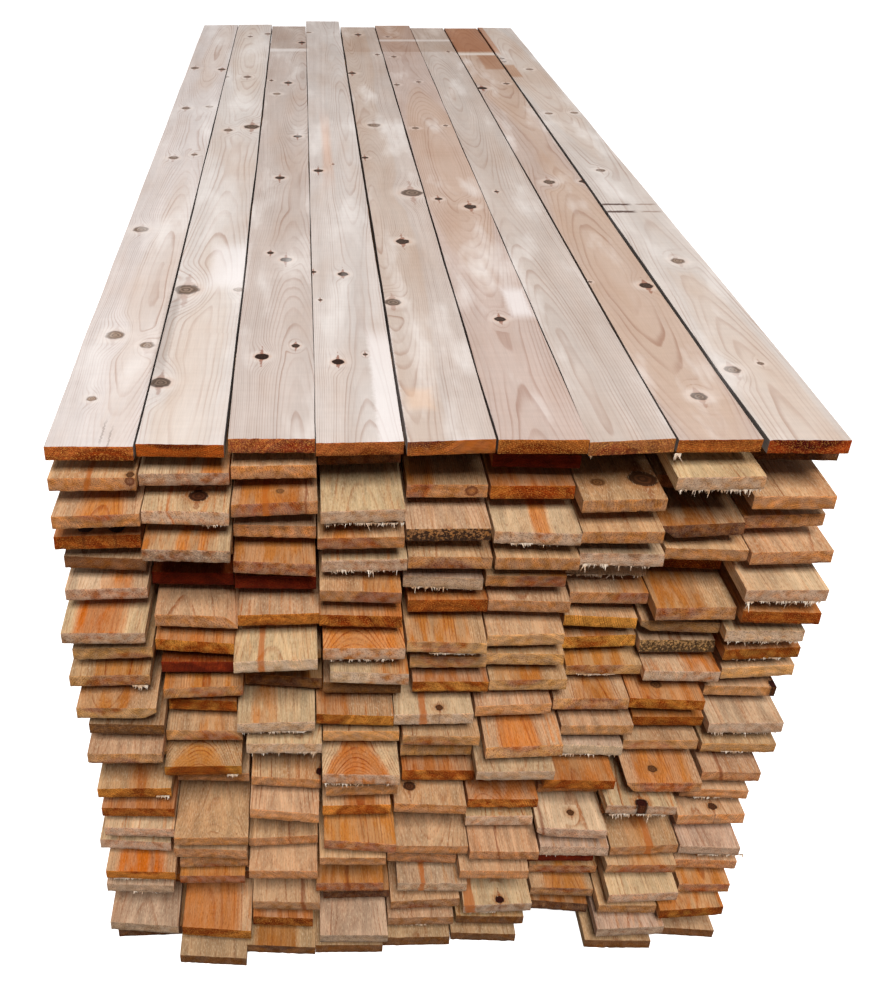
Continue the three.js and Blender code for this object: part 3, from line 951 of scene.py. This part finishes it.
def makeWeatheredPine(marks):
    # boards left out in sun and rain: bleached pinkish white, with thin latewood lines, grey and tan patches,
    # faint bands across them from the planer, and the marks of what has lain on them
    material, tree, shader = startMaterial("weatheredPine", 0.8)
    pine, colour = grainColour(tree, weatheredLook, weatheredLook["ringShare"])
    place = addNode(tree, "Attribute", attribute_name="logPlace").outputs["Vector"]
    patch = addNode(tree, "VectorMath", {0: place, 1: perMm(weatheredLook["patches"])}, operation="MULTIPLY")
    patch = addNode(tree, "TexNoise", {"Vector": patch, "Scale": 1, "Detail": 4})
    tan = addNode(tree, "MapRange", {0: patch, 1: 0.5, 2: 0.75, 3: 0, 4: 0.4})
    tanTint, paleTint = linearColour(weatheredLook["tanTint"]), linearColour(weatheredLook["paleTint"])
    colour = addNode(tree, "MixRGB", {0: tan, 1: colour, 2: tanTint}, blend_type="MULTIPLY")
    pale = addNode(tree, "MapRange", {0: patch, 1: 0.45, 2: 0.28, 3: 0, 4: 0.55})
    colour = addNode(tree, "MixRGB", {0: pale, 1: colour, 2: paleTint})
    bandScale = perMm(weatheredLook["planerBands"])
    band = addNode(tree, "VectorMath", {0: place, 1: bandScale}, operation="MULTIPLY")
    band = addNode(tree, "TexNoise", {"Vector": band, "Scale": 1, "Detail": 1})
    band = addNode(tree, "MapRange", {0: band, 1: 0.35, 2: 0.65, 3: 0.98, 4: 1.012})
    colour = addNode(tree, "VectorMath", {0: colour, "Scale": band}, operation="SCALE")
    own = addNode(tree, "TexCoord").outputs["Object"]
    blur = addNode(tree, "TexNoise", {"Vector": own, "Scale": 160, "Detail": 2})
    blur = addNode(tree, "VectorMath", {0: blur.outputs["Color"], 1: (0.5, 0.5, 0.5)}, operation="SUBTRACT")
    blur = addNode(tree, "VectorMath", {0: blur, "Scale": weatheredLook["markBlur"] * mm}, operation="SCALE")
    own = addNode(tree, "VectorMath", {0: own, 1: blur}, operation="ADD")
    for mark in marks:
        # an uneven patch, given by its middle and by one over half its size
        away = addNode(tree, "VectorMath", {0: own, 1: mark["middle"]}, operation="SUBTRACT")
        away = addNode(tree, "VectorMath", {0: away, 1: mark["scale"]}, operation="MULTIPLY")
        away = addNode(tree, "VectorMath", {0: away}, operation="ABSOLUTE")
        away = addNode(tree, "SeparateXYZ", {0: away})
        away = addNode(tree, "Math", {0: away.outputs[0], 1: away.outputs[1]}, operation="MAXIMUM")
        soft, share, tint = mark["soft"], mark["share"], linearColour(mark["tint"])
        share = addNode(tree, "MapRange", {0: away, 1: 1 - soft, 2: 1 + soft, 3: share, 4: 0}, **smooth)
        colour = addNode(tree, "MixRGB", {0: share, 1: colour, 2: tint}, blend_type=mark["how"])
    height = addNode(tree, "Math", {0: pine["latewood"], 1: 0.6, 2: pine["fibre"]}, operation="MULTIPLY_ADD")
    finishMaterial(tree, shader, colour, height, 0.25)
    return material


cutLook = {
    "ringTint": "#54240a",
    "fibre": 0.12,
    "broad": 0.22,
    "cloud": (16, 400, 16),
    "tone": 0.15,
    "haloTint": "#a3622e",
    "haloShare": 0.35,
    "rustTint": "#7e3f18",
    "spikeTint": "#6e3413",
    "knotTint": "#8a5a34",
    "darkKnotTint": "#4a2412",
    "speckTint": "#e8a850",  # cut fibres that catch the light
    "fuzzTint": "#dcc4ac",  # torn, bleached fibres
    "poreTint": "#8a5428",
    "mouldTint": "#241814",
    "endKnotTint": "#5a2210",
    "scratches": (1.3, 6, 16),  # mm
    # painted highlight along a cut end's upper edge, and painted shade along its lower edge
    "paintedUpperHighlight": 1.35,
    "paintedLowerShade": 0.68,
}


def makeCutPine():
    # sawn end grain: matt and a little fuzzy, darker than the faces, with rings and scratches of the saw
    material, tree, shader = startMaterial("cutPine", 0.9)
    own = readLooks(tree, "boardLook", "ringLook", "endKnot", "endLook")
    pine, colour = grainColour(tree, cutLook, own["endRings"])
    place = addNode(tree, "Attribute", attribute_name="boardPlace").outputs["Vector"]
    shift = addNode(tree, "Attribute", attribute_name="boardLook").outputs["Vector"]
    # scratches of the saw, at each board's own angle
    turned = addNode(tree, "VectorRotate", {"Vector": place, "Angle": own["seed"]}, rotation_type="Y_AXIS")
    scratch = addNode(tree, "VectorMath", {0: turned, 1: perMm(cutLook["scratches"])}, operation="MULTIPLY")
    scratch = addNode(tree, "VectorMath", {0: scratch, 1: shift}, operation="ADD")
    scratch = addNode(tree, "TexNoise", {"Vector": scratch, "Scale": 1, "Detail": 2})
    shade = addNode(tree, "MapRange", {0: scratch, 1: 0.3, 2: 0.7, 3: 0.8, 4: 1.2})
    colour = addNode(tree, "VectorMath", {0: colour, "Scale": shade}, operation="SCALE")
    shifted = addNode(tree, "VectorMath", {0: place, 1: shift}, operation="ADD")
    # bleached, torn fibres in broad zones
    tufts = addNode(tree, "TexNoise", {"Vector": shifted, "Scale": 0.09, "Detail": 4})
    tufts = addNode(tree, "MapRange", {0: tufts, 1: 0.36, 2: 0.58, 3: 0.1, 4: 0.85})
    tufts = addNode(tree, "Math", {0: tufts, 1: own["fuzz"]}, operation="MULTIPLY")
    clear = addNode(tree, "Math", {0: 1.0, 1: pine["knot"]}, operation="SUBTRACT")
    tufts = addNode(tree, "Math", {0: tufts, 1: clear}, operation="MULTIPLY")
    colour = addNode(tree, "MixRGB", {0: tufts, 1: colour, 2: linearColour(cutLook["fuzzTint"])})
    # a painted highlight along the upper edge and painted shade along the lower one
    x, _, z = addNode(tree, "SeparateXYZ", {0: place}).outputs
    edge = addNode(tree, "Math", {0: scratch, 1: 5, 2: z}, operation="MULTIPLY_ADD")
    upper = addNode(tree, "MapRange", {0: edge, 1: 18.2, 2: 19.6, 3: 1, 4: cutLook["paintedUpperHighlight"]})
    colour = addNode(tree, "VectorMath", {0: colour, "Scale": upper}, operation="SCALE")
    lower = addNode(tree, "MapRange", {0: edge, 1: 3, 2: 8, 3: cutLook["paintedLowerShade"], 4: 1})
    colour = addNode(tree, "VectorMath", {0: colour, "Scale": lower}, operation="SCALE")
    # fibre ends: bright specks and pores
    speck = addNode(tree, "TexNoise", {"Vector": shifted, "Scale": 0.8, "Detail": 2, "Roughness": 0.6})
    bright = addNode(tree, "MapRange", {0: speck, 1: 0.54, 2: 0.7, 3: 0, 4: 0.75})
    early = addNode(tree, "Math", {0: 1.0, 1: pine["latewood"]}, operation="SUBTRACT")
    bright = addNode(tree, "Math", {0: bright, 1: early}, operation="MULTIPLY")
    bright = addNode(tree, "Math", {0: bright, 1: own["specks"]}, operation="MULTIPLY")
    colour = addNode(tree, "MixRGB", {0: bright, 1: colour, 2: linearColour(cutLook["speckTint"])})
    pore = addNode(tree, "MapRange", {0: speck, 1: 0.48, 2: 0.34, 3: 0, 4: 0.7})
    poreTint = linearColour(cutLook["poreTint"])
    colour = addNode(tree, "MixRGB", {0: pore, 1: colour, 2: poreTint}, blend_type="MULTIPLY")
    # a branch that the saw met at the end
    across = addNode(tree, "Math", {0: x, 1: own["knotX"]}, operation="SUBTRACT")
    across = addNode(tree, "Math", {0: across, 1: own["halfWidth"]}, operation="DIVIDE")
    upward = addNode(tree, "Math", {0: z, 1: own["knotZ"]}, operation="SUBTRACT")
    upward = addNode(tree, "Math", {0: upward, 1: own["halfHeight"]}, operation="DIVIDE")
    oval = addNode(tree, "CombineXYZ", {0: across, 1: upward})
    oval = addNode(tree, "VectorMath", {0: oval}, operation="LENGTH").outputs["Value"]
    oval = addNode(tree, "Math", {0: speck, 1: 0.5, 2: oval}, operation="MULTIPLY_ADD")
    inside = addNode(tree, "MapRange", {0: oval, 1: 1.0, 2: 1.3, 3: 0.8, 4: 0}, **smooth)
    middle = addNode(tree, "MapRange", {0: oval, 1: 0.5, 2: 1.0, 3: 0.45, 4: 1}, **smooth)
    inside = addNode(tree, "Math", {0: inside, 1: middle}, operation="MULTIPLY")
    colour = addNode(tree, "MixRGB", {0: inside, 1: colour, 2: linearColour(cutLook["endKnotTint"])})
    # mould, which starts at the lower edge
    blotch = addNode(tree, "TexNoise", {"Vector": shifted, "Scale": 0.3, "Detail": 4, "Roughness": 0.65})
    lower = addNode(tree, "MapRange", {0: z, 1: 2, 2: 17, 3: 0.08, 4: -0.01})
    blotch = addNode(tree, "Math", {0: blotch, 1: lower}, operation="ADD")
    mould = addNode(tree, "MapRange", {0: blotch, 1: 0.47, 2: 0.55, 3: 0, 4: 0.92})
    mould = addNode(tree, "Math", {0: mould, 1: own["mould"]}, operation="MULTIPLY")
    colour = addNode(tree, "MixRGB", {0: mould, 1: colour, 2: linearColour(cutLook["mouldTint"])})
    colour = addStreaks(tree, colour)
    height = addNode(tree, "Math", {0: speck, 1: 1.5, 2: scratch}, operation="MULTIPLY_ADD")
    finishMaterial(tree, shader, colour, height, 0.35)
    return material


def makeTornFibre():
    # fibres that the saw tore out instead of cutting: dry and bleached, so paler than the wood and matt
    material, tree, shader = startMaterial("tornFibre", 0.9)
    own = addNode(tree, "TexCoord").outputs["Object"]
    tone = addNode(tree, "TexNoise", {"Vector": own, "Scale": 90, "Detail": 2})
    tone = addNode(tree, "MapRange", {0: tone, 1: 0.35, 2: 0.65})
    dry, bleached = linearColour("#c9a07a"), linearColour("#efdfcb")
    colour = addNode(tree, "MixRGB", {0: tone, 1: dry, 2: bleached})
    tree.links.new(colour.outputs[0], shader.inputs["Base Color"])
    return material


print("materials")
sawnPine, cutPine, tornFibre = makeSawnPine(), makeCutPine(), makeTornFibre()


# the top boards
# Each has the tone of its faces, the sapwood and heartwood of its cut end, and the same traits as above.
topBoards = [
    {
        "tone": "pale", "end": ("#b35d28", "#873407"), "band": (30, 108, -15),
        "knots": [
            (25, 723, 12, 0.3), (40, 302, 12, 0.2), (65, 321, 4, 0.6), (87, 270, 9, 0.2), (37, 117, 6, 0.1),
            (31, 1533, 9, 0.4), (83, 1547, 8, 0.2), (40, 1140, 9, 0.4), (79, 1161, 6, 0.4),
            (18, 1950, 10, 0.5), (89, 1933, 9, 0.7),
        ],
    },
    {
        "tone": "pale", "end": ("#b65415", "#5c1302"), "band": (18, 86, 7),
        "knots": [
            (19, 457, 17, 0.4), (12, 155, 12, 0.6), (95, 457, 7, 0.2), (33, 1340, 9, 0.4),
            (82, 1367, 15, 0.7), (19, 1317, 4, 0.5), (2, 1843, 6, 0.5), (54, 1843, 9, 0.5),
            (42, 2360, 7, 0.5), (92, 2400, 9, 0.4),
        ],
    },
    {
        "tone": "grey", "end": ("#9e4d24", "#872b06"), "band": (48, 112, -14),
        "knots": [
            (36, 593, 5, 0.9), (61, 563, 8, 0.9), (33, 215, 8, 1), (77, 248, 5, 0.9), (28, 1650, 9, 0.2),
            (78, 1276, 8, 0.9), (45, 988, 8, 0.9), (12, 1790, 5, 0.8), (54, 1763, 9, 0.9), (88, 2257, 9, 1),
        ],
    },
    {
        "tone": "fair", "end": ("#b1602e", "#8d3a09"), "band": (52, 92, -7),
        "knots": [
            (2, 517, 4, 0.9), (47, 508, 7, 0.9), (11, 408, 3, 0.8), (31, 205, 7, 1), (67, 227, 3, 0.8),
            (17, 1038, 8, 0.9), (46, 1081, 3, 0.8), (7, 2413, 8, 0.2),
        ],
    },
    {
        "tone": "grey", "end": ("#a95619", "#5c1403"), "band": (-8, 42, 6),
        "knots": [
            (44, 650, 10, 0.9), (11, 400, 11, 0.5), (38, 1371, 13, 0.3), (6, 1125, 6, 0.9),
            (80, 903, 18, 0.5), (47, 2377, 9, 0.9), (87, 2100, 6, 0.7), (10, 1875, 9, 0.9),
        ],
    },
    {
        "tone": "warm", "end": ("#a05720", "#782f04"), "band": (8, 96, -13),
        "knots": [
            (72, 825, 10, 0.9), (52, 340, 7, 0.9), (21, 1347, 7, 0.4), (88, 1367, 5, 0.5),
            (21, 868, 6, 0.9), (27, 2347, 6, 0.4), (26, 2073, 7, 0.6), (10, 1748, 7, 0.6),
            (66, 1778, 6, 0.6),
        ],
    },
    {
        "tone": "grey", "end": ("#a55f2f", "#813006"), "band": (4, 46, -13), "endKnot": (49, 3, 8, 6),
        "fringe": (4, 0, 7),
        "knots": [
            (27, 909, 4, 0.9), (75, 2137, 5, 0.6),
        ],
    },
    {
        "tone": "warm", "end": ("#b96429", "#742906"), "band": (22, 84, 5), "fringe": (5, 0, 6),
        "knots": [
            (83, 462, 9, 0.9), (61, 510, 4, 0.3), (3, 477, 3, 0.6), (55, 107, 9, 0.5), (33, 967, 10, 0.6),
            (97, 970, 7, 0.9), (10, 1713, 11, 1), (76, 1760, 7, 0.6),
        ],
    },
    {
        "tone": "fair", "end": ("#ab4314", "#480601"), "band": (8, 92, 15),
        "knots": [
            (56, 563, 10, 0.3), (18, 181, 9, 0.4), (60, 200, 4, 0.4), (24, 1471, 8, 0.2),
            (82, 1477, 8, 0.2), (43, 1040, 8, 0.4), (6, 2050, 7, 0.6), (6, 2010, 6, 0.6),
            (58, 1920, 9, 0.2),
        ],
    },
]
# Their finishes, in the same order of values as the others.
topFinishes = {
    "pale": ("#9c4a14", "#782806", "#d9cec7", "#d8c9be", 0.0, 1.0, 1.0),
    "grey": ("#984814", "#782806", "#c7b8ae", "#c5b2a4", 0.05, 1.0, 1.0),
    "warm": ("#a04e16", "#80300a", "#c4afa3", "#c4aa98", 0.0, 1.0, 1.0),
    "fair": ("#84340a", "#5c1202", "#d2c6be", "#d1bfb2", 0.0, 0.8, 0.8),
}
finishes.update(topFinishes)
# What all the top boards share: how much their colours vary, and how much darker their sides are made, as
# painted shade in the gaps between them.
topTraits = {"vary": 0.15, "paintedSideShade": 0.4}
# Patches on the top boards: board, then left, right, front and back in mm on it, tint, share, way of mixing,
# and softness of the outline.
topMarks = [
    (2, -4, 13, 165, 450, "#a89c94", 0.45, "MULTIPLY", 0.5),  # grey smudge between two knots
    (4, 72, 104, -20, 290, "#f4ece8", 0.6, "MIX", 0.25),
    (2, 50, 104, 470, 640, "#f6efec", 0.55, "MIX", 0.35),
    (6, 70, 101, 350, 450, "#f6efec", 0.6, "MIX", 0.4),
    (4, 28, 44, 1033, 1400, "#e0a57c", 0.4, "MIX", 0.9),  # resin in the middle of a cathedral
    (3, -4, 104, 2175, 2600, "#e6ddd6", 0.7, "MULTIPLY", 0.02),
    (3, -4, 104, 2137, 2175, "#f1e9e3", 0.5, "MIX", 0.2),
    (5, -4, 104, 2137, 2600, "#f2ebe5", 0.7, "MULTIPLY", 0.02),
    (6, -4, 104, 2137, 2600, "#e0d0c3", 0.7, "MULTIPLY", 0.02),
    (7, -4, 104, 2137, 2600, "#e4d8ce", 0.7, "MULTIPLY", 0.02),
    (6, -4, 104, 2280, 2307, "#efe6df", 0.45, "MIX", 0.2),
    (7, -4, 104, 2280, 2307, "#efe6df", 0.45, "MIX", 0.2),
    (8, -4, 104, 2137, 2600, "#d4a27a", 0.85, "MULTIPLY", 0.02),
    (8, -4, 104, 2093, 2120, "#f0e6dd", 0.55, "MIX", 0.2),
    (8, 48, 104, 1920, 2092, "#d8b08c", 0.7, "MULTIPLY", 0.15),
    (9, -4, 26, 1833, 1973, "#d8b08c", 0.7, "MULTIPLY", 0.2),
    (9, -4, 14, 2120, 2600, "#d99a66", 0.7, "MULTIPLY", 0.2),
    (9, -2, 48, 833, 842, "#4a3026", 0.9, "MIX", 0.25),  # two dark scrapes of a strap or a lath's edge
    (9, -2, 48, 793, 803, "#4a3026", 0.9, "MIX", 0.25),
    (9, 60, 92, 834, 841, "#8a6d5c", 0.6, "MIX", 0.4),
    (9, 60, 92, 795, 802, "#8a6d5c", 0.6, "MIX", 0.4),
    (5, 8, 38, 78, 128, "#e6c3a6", 0.5, "MIX", 0.5),
    (1, 62, 64, 8, 58, "#8f8078", 0.55, "MIX", 0.6),
    (1, 72, 74, -10, 40, "#8f8078", 0.55, "MIX", 0.6),
]

print("top boards")
topPlaces = [boardPlaces(nodes[name])[0] for name in topNames]


def placeMark(number, left, right, front, back, tint, share, how, soft):
    # its middle and scale on Object coordinates
    place = topPlaces[number - 1]
    middle = ((left + right) / 2 + place["left"], (front + back) / 2 + place["front"])
    scale = (2 / (right - left) / mm, 2 / (back - front) / mm, 0)
    return {"middle": (middle[0] * mm, middle[1] * mm, 0), "scale": scale, "tint": tint, "share": share,
            "how": how, "soft": soft}


weatheredPine = makeWeatheredPine([placeMark(*mark) for mark in topMarks])
for index, (name, traits) in enumerate(zip(topNames, topBoards)):
    rng = np.random.default_rng(100 + index)
    traits = {**topTraits, **traits}
    parts = [cutBoard(f"weathered_board_{index + 1}", topPlaces[index], (traits["tone"], "n"), rng, traits)]
    if "fringe" in traits:
        parts.append(hangSplinters(f"splinters_{index + 1}", topPlaces[index], traits["fringe"], rng))
    piece = joinPieces(f"weathered_board_{index + 1}", parts, (weatheredPine, cutPine, tornFibre))
    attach(piece, "root")
    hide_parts(name)


# the layers below
print("layers of boards")
whorls = {  # mm, from one whorl of branches to the next, and of their knots
    "first": (130, 500),  # behind the stretch that shows at the front
    "apart": (280, 620),
    "scatter": 15,
    "radius": (4, 10),
}


def randomKnots(rng, length):
    knots = []
    y = rng.uniform(*whorls["first"])
    while y < length:
        for _ in range(rng.integers(1, 3)):
            aside, along = rng.uniform(5, 95), y + rng.normal(0, whorls["scatter"])
            knots.append((aside, along, rng.uniform(*whorls["radius"]), rng.uniform(0.3, 1)))
        y += rng.uniform(*whorls["apart"])
    return knots


for index, nodeName in enumerate(layerNames):
    layer = index + 2
    endTint = next(tint for last, tint in layerTints if layer <= last)
    parts = []
    for column, place in enumerate(boardPlaces(nodes[nodeName])):
        rng = np.random.default_rng(1000 * layer + column)
        kind = boardKinds[index].split()[column]
        traits = {"endTint": endTint, "knots": [], **boardTraits.get(f"{layer}.{column + 1}", {})}
        knots = [*traits["knots"], *randomKnots(rng, place["back"] - place["front"])]
        parts.append(cutBoard(f"board_{layer}_{column + 1}", place, kind, rng, {**traits, "knots": knots}))
        if "fringe" in traits:
            parts.append(hangSplinters(f"splinters_{layer}_{column + 1}", place, traits["fringe"], rng))
    piece = joinPieces(f"sawn_boards_{layer:02d}", parts, (sawnPine, cutPine, tornFibre))
    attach(piece, "root")
    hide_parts(nodeName)


# spacer laths
print("laths")
lath = {
    "length": 900,  # mm; each copy is drawn out to its own length
    "width": 48,
    "thickness": 24,
    "edgeRound": 1.0,
    "acrossStep": 90,  # between the cuts across it
    "bow": (120, 0.8),  # spacing and size of the bends along it
    "kind": "tv",  # finish and pith's place
}


def modelLath():
    blank = modelBlank("lath_blank", (lath["length"], lath["width"], lath["thickness"]), lath["edgeRound"])
    across = range(lath["acrossStep"], lath["length"], lath["acrossStep"])
    cutBlank(blank, 0, across, lambda centre: True)
    return blank


lathBlank = modelLath()


def cutLath(name, place, rng):
    # a board's grain, turned to run along x
    piece, points = copyBlank(lathBlank, name)
    length = place["right"] - place["left"]
    points[:, 0] = points[:, 0] * length / lath["length"]
    points[:, 1] += smoothNoise(rng, points[:, 0], *lath["bow"])
    movePoints(piece.data, points + [place["left"], place["front"], place["top"] - lath["thickness"]])
    turned = points[:, [1, 0, 2]]
    writeGrain(piece.data, turned, lath["kind"], rng, {})
    isEnd = np.abs(facings(piece.data)[:, 0]) > facesThatWay
    piece.data.polygons.foreach_set("material_index", isEnd.astype(int))
    writeKnots(piece.data, turned, [])
    return piece


for index, nodeName in enumerate(layerNames):
    parts = []
    for number, place in enumerate(lathPlaces(nodes[nodeName])):
        rng = np.random.default_rng(50000 + 10 * index + number)
        parts.append(cutLath(f"lath_{index + 2}_{number}", place, rng))
    piece = joinPieces(f"spacer_laths_{index + 2:02d}", parts, (sawnPine, cutPine))
    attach(piece, "root")
    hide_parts(nodeName)

for blankPiece in (boardBlank, lathBlank, splinterBlank):
    bpy.data.objects.remove(blankPiece)


# floor, light and background
print("stage and light")
stage = {
    "floorSize": 30,  # m
    "floorDrop": 0.001,  # m under the stack, so that the two never share a plane
    "floorSeen": "#ece9e6",
    "footprint": (0.455, 1.2, 1),  # m, half the size of what doesn't glow, under the stack
    "floorGlow": 0.8,  # light of its own, which only the camera sees
    "floorBounce": "#4c3c2e",  # dull ground, for the light that it throws back at the stack
    "zenith": 0.13,  # the sky's strength overhead, above that of the horizon
    "horizon": 0.055,
    "behind": 0.75,  # more sky on the far side of the stack, which lights its back and sides
    "skyColour": "#fcfbff",
    "softBox": 900,  # W
    "softBoxSize": 3.2,  # m
    "softBoxAim": (-0.1, -1.1, 0.6),
    "softBoxFar": 9.0,  # m from where it is aimed
    "softBoxHeight": 54,  # degrees above the horizon, in front of the stack
}


def seenDirectly(tree):
    # 1 for what the camera sees, also in gloss and through glass, and 0 for the light that falls on things
    path = addNode(tree, "LightPath").outputs
    seen = addNode(tree, "Math", {0: path["Is Camera Ray"], 1: path["Is Glossy Ray"]}, operation="MAXIMUM")
    return addNode(tree, "Math", {0: seen, 1: path["Is Transmission Ray"]}, operation="MAXIMUM")


def makeFloor():
    # pale matt floor that keeps the stack's shadow; where it is seen, light of its own lifts it to white
    deselectAll()
    bpy.ops.mesh.primitive_plane_add(size=stage["floorSize"], location=(0, 0, -stage["floorDrop"]))
    floor = bpy.context.object
    floor.name = "floor"
    material, tree, shader = startMaterial("paleFloor", 0.95)
    shader.inputs["Specular IOR Level"].default_value = 0.0
    seen = seenDirectly(tree)
    bounce, pale = linearColour(stage["floorBounce"]), linearColour(stage["floorSeen"])
    colour = addNode(tree, "MixRGB", {0: seen, 1: bounce, 2: pale})
    tree.links.new(colour.outputs[0], shader.inputs["Base Color"])
    # none of that light is seen through the gaps under the stack
    footprintScale = [1 / s for s in stage["footprint"]]
    under = addNode(tree, "TexCoord").outputs["Object"]
    under = addNode(tree, "VectorMath", {0: under}, operation="ABSOLUTE")
    under = addNode(tree, "VectorMath", {0: under, 1: footprintScale}, operation="MULTIPLY")
    sideways, lengthways, _ = addNode(tree, "SeparateXYZ", {0: under}).outputs
    under = addNode(tree, "Math", {0: sideways, 1: lengthways}, operation="MAXIMUM")
    outside = addNode(tree, "MapRange", {0: under, 1: 0.97, 2: 1.0, 3: 0, 4: stage["floorGlow"]})
    seen = addNode(tree, "Math", {0: seen, 1: outside}, operation="MULTIPLY")
    shader.inputs["Emission Color"].default_value = (1, 1, 1, 1)
    tree.links.new(seen.outputs[0], shader.inputs["Emission Strength"])
    floor.data.materials.append(material)


def makeLight():
    world = bpy.data.worlds.new("overcast")
    lumberScene.world = world
    world.use_nodes = True
    tree = world.node_tree
    tree.nodes.clear()
    # the sky brightens upwards, and away from the camera's side
    direction = addNode(tree, "TexCoord").outputs["Generated"]
    _, ahead, height = addNode(tree, "SeparateXYZ", {0: direction}).outputs
    zenith = stage["horizon"] + stage["zenith"]
    strength = addNode(tree, "MapRange", {0: height, 3: stage["horizon"], 4: zenith})
    behind = addNode(tree, "MapRange", {0: ahead, 3: 0, 4: stage["behind"]})
    strength = addNode(tree, "Math", {0: strength, 1: behind}, operation="ADD")
    sky = addNode(tree, "Background", {"Color": linearColour(stage["skyColour"]), "Strength": strength})
    white = addNode(tree, "Background", {"Color": (1, 1, 1, 1), "Strength": 1.0})
    seen = seenDirectly(tree)
    both = addNode(tree, "MixShader", {0: seen, 1: sky, 2: white})
    addNode(tree, "OutputWorld", {"Surface": both})
    height, far = math.radians(stage["softBoxHeight"]), stage["softBoxFar"]
    x, y, z = stage["softBoxAim"]
    lampPlace = (x, y - far * math.cos(height), z + far * math.sin(height))
    bpy.ops.object.light_add(type="AREA", location=lampPlace, rotation=(math.pi / 2 - height, 0, 0))
    lamp = bpy.context.object
    lamp.data.size = stage["softBoxSize"]
    lamp.data.energy = stage["softBox"]


makeFloor()
makeLight()
lumberScene.view_settings.view_transform = "Standard"
